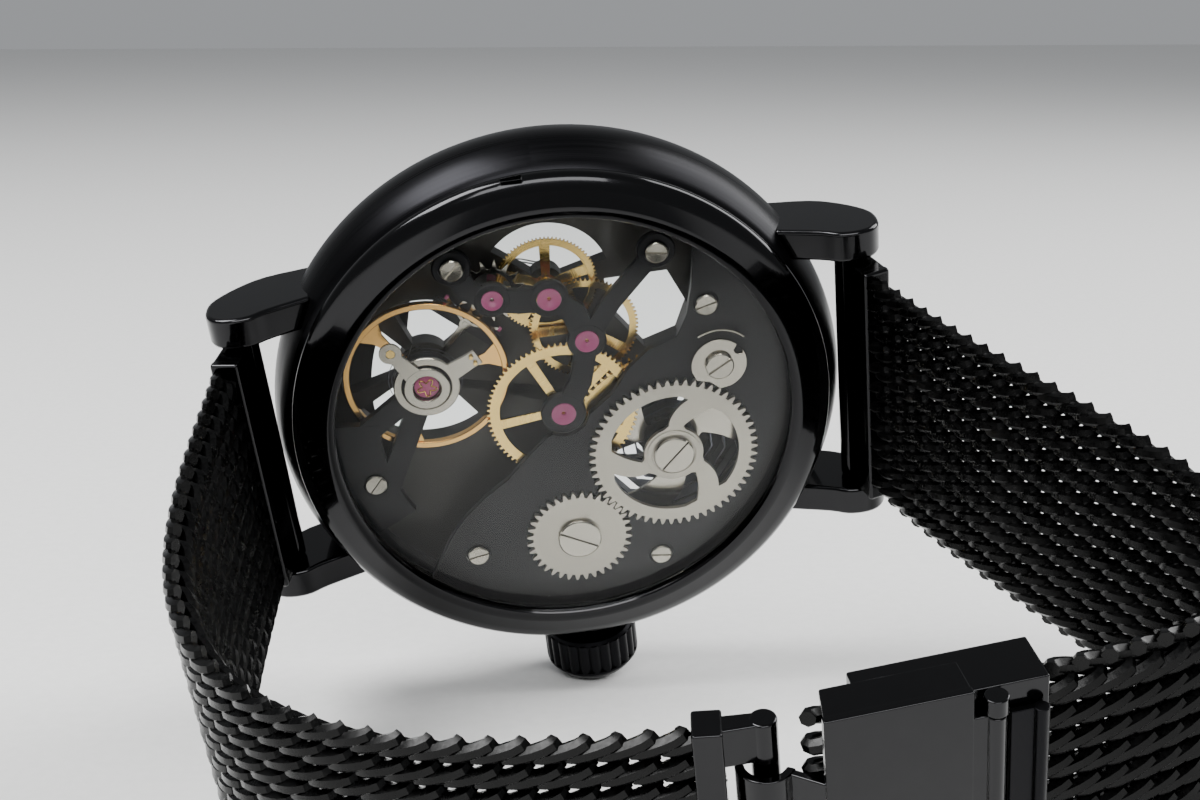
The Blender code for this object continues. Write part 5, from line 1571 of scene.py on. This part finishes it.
def strap_curve(side, lean, reaches, end):
    """The middle of half the strap, as a cubic curve. side is 1 at 12 o'clock and -1 at 6 o'clock."""
    lean, tilt = math.radians(lean), math.radians(CLASP_TILT)
    start = np.array((side * STRAP_START[0], STRAP_START[1]))
    end = np.array(end)
    leaving = start + reaches[0] * np.array((side * math.sin(lean), -math.cos(lean)))
    arriving = end + reaches[1] * np.array((side * math.cos(tilt), math.sin(tilt)))
    return [
        (1 - t) ** 3 * start + 3 * t * (1 - t) ** 2 * leaving + 3 * t**2 * (1 - t) * arriving + t**3 * end
        for t in np.linspace(0.0, 1.0, STRAP_STEPS + 1)
    ]


def clasp_point(distance, offset=0.0):
    """A point along the clasp from its 6 o'clock end, moved away from the wrist."""
    tilt = math.radians(CLASP_TILT)
    heading = np.array((math.cos(tilt), -math.sin(tilt)))
    return np.array(CLASP_START) + heading * distance + np.array((heading[1], -heading[0])) * offset


STRAP_12 = strap_curve(1, STRAP_12_LEAN, STRAP_12_REACHES, STRAP_12_END)
STRAP_6 = [*strap_curve(-1, STRAP_6_LEAN, STRAP_6_REACHES, CLASP_START), clasp_point(CLASP_LENGTH)]


def mesh_link(pitch, half_length, half_height, radius, sides=7, steps=14):
    """One turn of a flattened wire coil across the strap. It advances by pitch along X."""
    points = []
    for k in range(steps + 1):
        t = math.tau * k / steps
        s = half_length * math.cos(t)
        h = half_height * math.copysign(abs(math.sin(t)) ** 0.75, math.sin(t))
        if k <= steps / 2:
            x = (1 - s / half_length) / 2 * pitch / 2
        else:
            x = pitch / 2 + (1 + s / half_length) / 2 * pitch / 2
        points.append((x - pitch / 2, s, h))
    return tube(points, radius, sides)


def strap_tree():
    """Lays rows of links across the strap at even steps along its path."""
    found = bpy.data.node_groups.get("mesh strap")
    if found:
        return found
    tree = bpy.data.node_groups.new("mesh strap", "GeometryNodeTree")
    tree.is_modifier = True
    face = tree.interface
    face.new_socket("Geometry", in_out="INPUT", socket_type="NodeSocketGeometry")
    face.new_socket("Geometry", in_out="OUTPUT", socket_type="NodeSocketGeometry")
    for name, kind in (
        ("Link", "NodeSocketObject"),
        ("Coils", "NodeSocketInt"),
        ("Turns", "NodeSocketInt"),
        ("Pitch", "NodeSocketFloat"),
        ("Material", "NodeSocketMaterial"),
    ):
        face.new_socket(name, in_out="INPUT", socket_type=kind)
    enter = node(tree, "NodeGroupInput", (-1100, 0))
    leave = node(tree, "NodeGroupOutput", (900, 0))
    steps = node(tree, "GeometryNodeCurveToPoints", (-700, 200), mode="COUNT")
    wire = node(tree, "GeometryNodeObjectInfo", (-700, -250), transform_space="ORIGINAL")
    row = node(tree, "GeometryNodeMeshLine", (-700, -50), mode="OFFSET")
    less = node(tree, "ShaderNodeMath", (-900, -400), operation="SUBTRACT")
    less.inputs[1].default_value = 1.0
    half = node(tree, "ShaderNodeMath", (-700, -450), operation="MULTIPLY")
    back = node(tree, "ShaderNodeMath", (-520, -450), operation="MULTIPLY")
    back.inputs[1].default_value = -0.5
    first = node(tree, "ShaderNodeCombineXYZ", (-350, -450))
    offset = node(tree, "ShaderNodeCombineXYZ", (-900, -150))
    across = node(tree, "GeometryNodeInstanceOnPoints", (-300, -50))
    turn = node(tree, "FunctionNodeAxesToRotation", (-300, 350), primary_axis="X", secondary_axis="Y")
    turn.inputs[0].default_value = (1.0, 0.0, 0.0)
    coils = node(tree, "GeometryNodeInstanceOnPoints", (0, 150))
    real = node(tree, "GeometryNodeRealizeInstances", (250, 100))
    paint = node(tree, "GeometryNodeSetMaterial", (450, 100))
    link = tree.links.new
    link(enter.outputs["Geometry"], steps.inputs["Curve"])
    link(enter.outputs["Coils"], steps.inputs["Count"])
    link(enter.outputs["Link"], wire.inputs["Object"])
    link(enter.outputs["Turns"], row.inputs["Count"])
    link(enter.outputs["Pitch"], offset.inputs["X"])
    link(offset.outputs[0], row.inputs["Offset"])
    link(enter.outputs["Turns"], less.inputs[0])
    link(less.outputs[0], half.inputs[0])
    link(enter.outputs["Pitch"], half.inputs[1])
    link(half.outputs[0], back.inputs[0])
    link(back.outputs[0], first.inputs["X"])
    link(first.outputs[0], row.inputs["Start Location"])
    link(row.outputs["Mesh"], across.inputs["Points"])
    link(wire.outputs["Geometry"], across.inputs["Instance"])
    link(steps.outputs["Points"], coils.inputs["Points"])
    link(steps.outputs["Tangent"], turn.inputs[1])
    link(across.outputs["Instances"], coils.inputs["Instance"])
    link(turn.outputs[0], coils.inputs["Rotation"])
    link(coils.outputs["Instances"], real.inputs["Geometry"])
    link(real.outputs["Geometry"], paint.inputs["Geometry"])
    link(enter.outputs["Material"], paint.inputs["Material"])
    link(paint.outputs["Geometry"], leave.inputs["Geometry"])
    return tree


def weave(name, path, look, body, nodes):
    """The woven half of a strap as one mesh along a path of (y, z) points."""
    s = bpy.context.scene.watch_sizes
    curve = bpy.data.curves.new(name + "_path", "CURVE")
    curve.dimensions = "3D"
    spline = curve.splines.new("POLY")
    spline.points.add(len(path) - 1)
    for point, (y, z) in zip(spline.points, path):
        point.co = (0.0, y, z, 1.0)
    guide = bpy.data.objects.new(name + "_guide", curve)
    bpy.context.scene.collection.objects.link(guide)
    radius = s.wire * TO_MM / 2
    half_height = s.strap_thickness * TO_MM / 2 - radius
    turns = round((s.strap_width * TO_MM - 2 * radius) / (s.row_pitch * TO_MM))
    pitch = (s.strap_width * TO_MM - 2 * radius) / turns
    shape = bpy.data.meshes.new("link")
    bm = mesh_link(pitch, s.coil_pitch * TO_MM * 0.85, half_height, radius)
    bm.to_mesh(shape)
    bm.free()
    source = bpy.data.objects.new("link", shape)
    length = sum(math.dist(a, b) for a, b in zip(path, path[1:]))
    modifier = guide.modifiers.new("weave", "NODES")
    tree = strap_tree()
    modifier.node_group = tree
    sockets = {item.name: item.identifier for item in tree.interface.items_tree if item.in_out == "INPUT"}
    modifier[sockets["Link"]] = source
    modifier[sockets["Coils"]] = round(length / (s.coil_pitch * TO_MM))
    modifier[sockets["Turns"]] = turns
    modifier[sockets["Pitch"]] = pitch
    modifier[sockets["Material"]] = look
    bpy.context.view_layer.update()
    made = bpy.data.meshes.new_from_object(guide.evaluated_get(bpy.context.evaluated_depsgraph_get()))
    bpy.data.objects.remove(guide)
    bpy.data.objects.remove(source)
    bm = bmesh.new()
    bm.from_mesh(made)
    return piece(name, bm, look, body, nodes, bevel=0)


def strap_tube(m, side, path, name, body, nodes):
    """The tube on the spring bar and the folded clamp on the mesh's end."""
    bar_at = (side * BAR_Y, BAR_Z)
    tube_shape = moved(along_x(washer(0.62, 1.1, -10.0, 10.0, 48)), (0, *bar_at))
    way = np.array(path[0]) - np.array(bar_at)
    length = np.hypot(*way)
    way = way / length
    start = np.array(bar_at) + way * 0.85
    end = np.array(path[0]) - way * 0.25
    clamp = band([start, end], 19.9, 2.05)
    lip = band([end - way * 0.75, end], 20.0, 2.1)
    piece(name, joined(tube_shape, clamp, lip), m["gloss"], body, nodes, bevel=0.22)


def build_strap(m):
    for name, side in (("12", 1), ("6", -1)):
        shape = [
            (0.0, -11.1),
            (0.34, -11.1),
            (0.34, -9.95),
            (0.54, -9.9),
            (0.54, 9.9),
            (0.34, 9.95),
            (0.34, 11.1),
            (0.0, 11.1),
        ]
        bar_shape = moved(along_x(lathe(shape, 32, ring=False)), (0, side * BAR_Y, BAR_Z))
        piece(
            f"spring_bar_{name}_rod",
            bar_shape,
            m["bright"],
            "case",
            [f"spring_bar_{name}"],
            bevel=0.03,
        )
    strap_tube(m, 1, STRAP_12, "strap_12_clamp", "strap_12_half", ["strap_end_12"])
    strap_tube(m, -1, STRAP_6, "strap_6_clamp", "strap_6_half", ["strap_end_6"])
    weave("strap_12_mesh", STRAP_12, m["weave"], "strap_12_half", ["strap_12"])
    weave("strap_6_mesh", STRAP_6, m["weave"], "strap_6_half", ["strap_6"])


def build_clasp(m):
    outside = 1.65
    hinge = clasp_point(3.5, outside + 0.6)
    slider = band([clasp_point(0.4), clasp_point(CLASP_LENGTH - 1.2)], 21.4, 2 * outside)
    hollow = band([clasp_point(-1.0), clasp_point(CLASP_LENGTH + 1.0)], 20.2, 2.1)
    ears = []
    for side in (-1, 1):
        low, high = sorted((side * 9.6, side * 10.67))
        ear = moved(along_x(rod(0.65, low, high, 32)), (0, *hinge))
        low, high = sorted((side * 8.4, side * 10.1))
        stud = moved(along_x(rod(0.24, low, high, 20)), (0, *hinge))
        ears += [ear, stud]
    piece(
        "clasp_slider_box",
        slider,
        m["gloss"],
        "strap_6_half",
        ["clasp_slider"],
        bevel=0.12,
        cut=[hollow],
    )
    piece("clasp_slider_ears", joined(*ears), m["gloss"], "strap_6_half", (), bevel=0.08)
    middle = outside + 0.05 + 0.275 + 0.2
    end = 12.6
    top = band([clasp_point(3.6, middle), clasp_point(5.0, middle)], 19.0, 0.5)
    wide = band([clasp_point(4.7, middle), clasp_point(end - 0.04, middle)], 22.58, 0.53)
    shapes = [top, wide]
    shapes.append(moved(along_x(rod(0.55, -9.45, 9.45, 32)), (0, *hinge)))
    for side in (-1, 1):
        low, high = sorted((side * 10.75, side * 11.28))
        corners = [
            clasp_point(4.75, middle),
            clasp_point(end - 0.1, middle),
            clasp_point(end - 0.5, middle - 2.3),
            clasp_point(4.75, middle - 2.3),
        ]
        shapes.append(along_x(plate([[tuple(c) for c in corners]], low, high)))
    turn = np.linspace(math.radians(-150), math.radians(5), 20)
    ring = [(HOOK_BAR[0] + 1.66 * math.cos(a), HOOK_BAR[1] + 1.66 * math.sin(a)) for a in turn]
    ring += [(HOOK_BAR[0] + 1.15 * math.cos(a), HOOK_BAR[1] + 1.15 * math.sin(a)) for a in turn[::-1]]
    shapes.append(along_x(plate([ring], -6.95, 6.95)))
    near = (HOOK_BAR[0] + 1.4 * math.cos(turn[0] + 0.2), HOOK_BAR[1] + 1.4 * math.sin(turn[0] + 0.2))
    shapes.append(band([clasp_point(end - 0.4, middle), near], 13.8, 0.48))
    piece(
        "clasp_cover_plate",
        joined(*shapes),
        m["gloss"],
        "clasp_cover",
        ["clasp_cover"],
        bevel=0.1,
    )
    lever_at = clasp_point(1.0, outside + 0.47)
    knob = moved(along_x(rod(0.42, -9.2, 9.2, 32)), (0, *lever_at))
    leaf = band([clasp_point(1.0, outside + 0.3), clasp_point(2.65, outside + 0.3)], 18.3, 0.4)
    piece(
        "clasp_lever",
        joined(knob, leaf),
        m["satin"],
        "clasp_lock",
        ["clasp_lock_lever"],
        bevel=0.06,
    )
    last = np.array(STRAP_12[-1]) - np.array(STRAP_12[-2])
    start = np.array(STRAP_12[-1]) + last / np.hypot(*last) * 0.1
    finish_at = np.array((HOOK_BAR[0] + 2.1, HOOK_BAR[1] + 0.07))
    rod_shape = moved(along_x(rod(0.75, -9.96, 9.96, 32)), (0, *HOOK_BAR))
    shapes = [band([start, finish_at], 20.0, 2.1), rod_shape]
    for side in (-1, 1):
        low, high = sorted((side * 7.4, side * 9.92))
        corners = [
            (finish_at[0] + 0.3, finish_at[1] - 0.65),
            (finish_at[0] + 0.3, finish_at[1] + 0.65),
            (HOOK_BAR[0], HOOK_BAR[1] + 0.55),
            (HOOK_BAR[0], HOOK_BAR[1] - 0.55),
        ]
        shapes.append(along_x(plate([corners], low, high)))
    piece(
        "strap_12_hook_bar",
        joined(*shapes),
        m["gloss"],
        "strap_12_half",
        ["strap_12_bar"],
        bevel=0.15,
    )


# Stage


CAMERA_AIM = (-0.0048, 0.002, 0.0302)
CAMERA_DISTANCE = 0.1208
CAMERA_AZIMUTH = 6.9
CAMERA_ELEVATION = 13.0
CAMERA_LENS = 54.0


def place_camera():
    """A long lens just above the table, looking past the strap's clasp at the case back."""
    azimuth, elevation = math.radians(CAMERA_AZIMUTH), math.radians(CAMERA_ELEVATION)
    level_part = math.cos(elevation)
    looking = Vector((math.sin(azimuth) * level_part, math.cos(azimuth) * level_part, -math.sin(elevation)))
    data = bpy.data.cameras.new("camera")
    data.lens = CAMERA_LENS
    data.sensor_width = 36.0
    data.clip_start = 0.005
    data.clip_end = 20.0
    camera = bpy.data.objects.new("camera", data)
    camera.location = Vector(CAMERA_AIM) - looking * CAMERA_DISTANCE
    camera.rotation_euler = looking.to_track_quat("-Z", "Y").to_euler()
    bpy.context.scene.collection.objects.link(camera)
    bpy.context.scene.camera = camera


def area(name, at, target, size, power, colour=(1.0, 1.0, 1.0)):
    data = bpy.data.lights.new(name, "AREA")
    data.shape = "RECTANGLE"
    data.size, data.size_y = size
    data.energy = power
    data.color = colour
    light = bpy.data.objects.new(name, data)
    light.location = at
    light.rotation_mode = "QUATERNION"
    light.rotation_quaternion = (Vector(target) - Vector(at)).to_track_quat("-Z", "Y")
    bpy.context.scene.collection.objects.link(light)


def stage_paint(name, colour, roughness, scale):
    made = bpy.data.materials.new(name)
    made.use_nodes = True
    tree = made.node_tree
    shader = tree.nodes["Principled BSDF"]
    where = node(tree, "ShaderNodeTexCoord", (-800, 0))
    speck = node(tree, "ShaderNodeTexNoise", (-600, 0))
    speck.inputs["Scale"].default_value = scale
    speck.inputs["Detail"].default_value = 6.0
    tint = node(tree, "ShaderNodeMix", (-300, 60), data_type="RGBA")
    tint.inputs["A"].default_value = (*[c * 0.92 for c in colour], 1.0)
    tint.inputs["B"].default_value = (*[min(1.0, c * 1.06) for c in colour], 1.0)
    tree.links.new(where.outputs["Object"], speck.inputs["Vector"])
    tree.links.new(speck.outputs["Fac"], tint.inputs["Factor"])
    tree.links.new(tint.outputs["Result"], shader.inputs["Base Color"])
    shader.inputs["Roughness"].default_value = roughness
    return made


def build_stage():
    s = bpy.context.scene.watch_colours
    floor_mesh = bpy.data.meshes.new("floor")
    bm = bmesh.new()
    bmesh.ops.create_grid(bm, x_segments=2, y_segments=2, size=1.6)
    bm.to_mesh(floor_mesh)
    bm.free()
    floor_mesh.materials.append(stage_paint("table", s.table, 0.45, 900.0))
    floor = bpy.data.objects.new("floor", floor_mesh)
    bpy.context.scene.collection.objects.link(floor)
    area("key", (-0.35, -0.1, 0.55), (0, 0, 0.02), (0.35, 0.3), 7.5)
    area("rim", (0.45, 0.1, 0.4), (0, 0, 0.02), (0.3, 0.5), 5.0)
    area("front", (-0.05, -0.6, 0.45), (0, 0, 0.02), (0.5, 0.25), 4.0)
    world = bpy.data.worlds.new("studio")
    world.use_nodes = True
    world.node_tree.nodes["Background"].inputs["Color"].default_value = (0.75, 0.77, 0.8, 1.0)
    world.node_tree.nodes["Background"].inputs["Strength"].default_value = 0.45
    bpy.context.scene.world = world
    place_camera()


# Add-on


class WatchSizes(bpy.types.PropertyGroup):
    """Sizes a maker may change in the visual."""

    strap_width: bpy.props.FloatProperty(
        name="Strap Width", description="Width of the mesh", default=0.02, unit="LENGTH"
    )
    strap_thickness: bpy.props.FloatProperty(
        name="Strap Thickness", description="Thickness of the mesh", default=0.0019, unit="LENGTH"
    )
    coil_pitch: bpy.props.FloatProperty(
        name="Coil Pitch",
        description="Distance between coils along the strap",
        default=0.0016,
        unit="LENGTH",
    )
    row_pitch: bpy.props.FloatProperty(
        name="Row Pitch",
        description="Distance between links across the strap",
        default=0.00175,
        unit="LENGTH",
    )
    wire: bpy.props.FloatProperty(
        name="Wire", description="Diameter of the strap's wire", default=0.00095, unit="LENGTH"
    )


def colour_property(name, description, default):
    return bpy.props.FloatVectorProperty(
        name=name, description=description, default=default, subtype="COLOR", size=3, min=0.0, max=1.0
    )


class WatchColours(bpy.types.PropertyGroup):
    """Colours a maker may change in the visual."""

    case: colour_property("Case", "Black coating of the case", (0.009, 0.009, 0.01))
    strap: colour_property("Strap", "Black coating of the mesh", (0.014, 0.014, 0.014))
    bridge: colour_property("Bridges", "Coating of the movement's bridges", (0.022, 0.022, 0.024))
    plate: colour_property("Plate", "Frosted base plate", (0.055, 0.053, 0.05))
    steel: colour_property("Steel", "Wheels and screws of steel", (0.47, 0.44, 0.38))
    brass: colour_property("Brass", "Gilt wheels", (0.88, 0.62, 0.22))
    rim: colour_property("Balance Rim", "Gilt balance", (0.85, 0.5, 0.17))
    ruby: colour_property("Jewels", "Bearing jewels", (0.34, 0.05, 0.2))
    table: colour_property("Table", "Floor of the studio", (0.74, 0.74, 0.73))


class WATCH_OT_build_case(bpy.types.Operator):
    """Builds the case, its back ring, bezel and crystals"""

    bl_idname = "watch.build_case"
    bl_label = "Build Case"

    def execute(self, context):
        build_case(looks())
        return {"FINISHED"}


class WATCH_OT_build_crown(bpy.types.Operator):
    """Builds the crown, its tube and the stem"""

    bl_idname = "watch.build_crown"
    bl_label = "Build Crown"

    def execute(self, context):
        build_crown(looks())
        return {"FINISHED"}


class WATCH_OT_build_plates(bpy.types.Operator):
    """Builds the base plate, bridges and jewels"""

    bl_idname = "watch.build_plates"
    bl_label = "Build Plates"

    def execute(self, context):
        build_plates(looks())
        return {"FINISHED"}


class WATCH_OT_build_screws(bpy.types.Operator):
    """Builds the bridge screws"""

    bl_idname = "watch.build_screws"
    bl_label = "Build Screws"

    def execute(self, context):
        build_screws(looks())
        return {"FINISHED"}


class WATCH_OT_build_winding(bpy.types.Operator):
    """Builds the ratchet, crown wheel and click"""

    bl_idname = "watch.build_winding"
    bl_label = "Build Winding"

    def execute(self, context):
        build_winding(looks())
        return {"FINISHED"}


class WATCH_OT_build_train(bpy.types.Operator):
    """Builds the barrel, the wheels and pinions"""

    bl_idname = "watch.build_train"
    bl_label = "Build Train"

    def execute(self, context):
        build_train(looks())
        return {"FINISHED"}


class WATCH_OT_build_balance(bpy.types.Operator):
    """Builds the balance, its bridge and the regulator"""

    bl_idname = "watch.build_balance"
    bl_label = "Build Balance"

    def execute(self, context):
        build_balance(looks())
        return {"FINISHED"}


class WATCH_OT_build_dial_side(bpy.types.Operator):
    """Builds the dial ring and the hands"""

    bl_idname = "watch.build_dial_side"
    bl_label = "Build Dial Side"

    def execute(self, context):
        build_dial_side(looks())
        return {"FINISHED"}


class WATCH_OT_build_strap(bpy.types.Operator):
    """Weaves the two halves of the strap"""

    bl_idname = "watch.build_strap"
    bl_label = "Build Strap"

    def execute(self, context):
        build_strap(looks())
        return {"FINISHED"}


class WATCH_OT_build_clasp(bpy.types.Operator):
    """Builds the clasp"""

    bl_idname = "watch.build_clasp"
    bl_label = "Build Clasp"

    def execute(self, context):
        build_clasp(looks())
        return {"FINISHED"}


class WATCH_OT_build_stage(bpy.types.Operator):
    """Builds the studio and the camera"""

    bl_idname = "watch.build_stage"
    bl_label = "Build Stage"

    def execute(self, context):
        build_stage()
        return {"FINISHED"}


OPERATORS = (
    WATCH_OT_build_case,
    WATCH_OT_build_crown,
    WATCH_OT_build_plates,
    WATCH_OT_build_screws,
    WATCH_OT_build_winding,
    WATCH_OT_build_train,
    WATCH_OT_build_balance,
    WATCH_OT_build_dial_side,
    WATCH_OT_build_strap,
    WATCH_OT_build_clasp,
    WATCH_OT_build_stage,
)


class WATCH_PT_panel(bpy.types.Panel):
    """The watch's sizes, colours and build buttons."""

    bl_label = "Watch"
    bl_idname = "WATCH_PT_panel"
    bl_space_type = "VIEW_3D"
    bl_region_type = "UI"
    bl_category = "Watch"

    def draw(self, context):
        for group in (context.scene.watch_sizes, context.scene.watch_colours):
            for key in group.__annotations__:
                self.layout.prop(group, key)
        for made in OPERATORS:
            self.layout.operator(made.bl_idname)


CLASSES = (WatchSizes, WatchColours, *OPERATORS, WATCH_PT_panel)


def register():
    link_all(CLASSES)
    bpy.types.Scene.watch_sizes = bpy.props.PointerProperty(type=WatchSizes)
    bpy.types.Scene.watch_colours = bpy.props.PointerProperty(type=WatchColours)


def unregister():
    del bpy.types.Scene.watch_sizes
    del bpy.types.Scene.watch_colours
    link_all(reversed(CLASSES), undo=True)


def main():
    register()
    for made in OPERATORS:
        group, name = made.bl_idname.split(".")
        getattr(getattr(bpy.ops, group), name)()


if __name__ == "__main__":
    main()
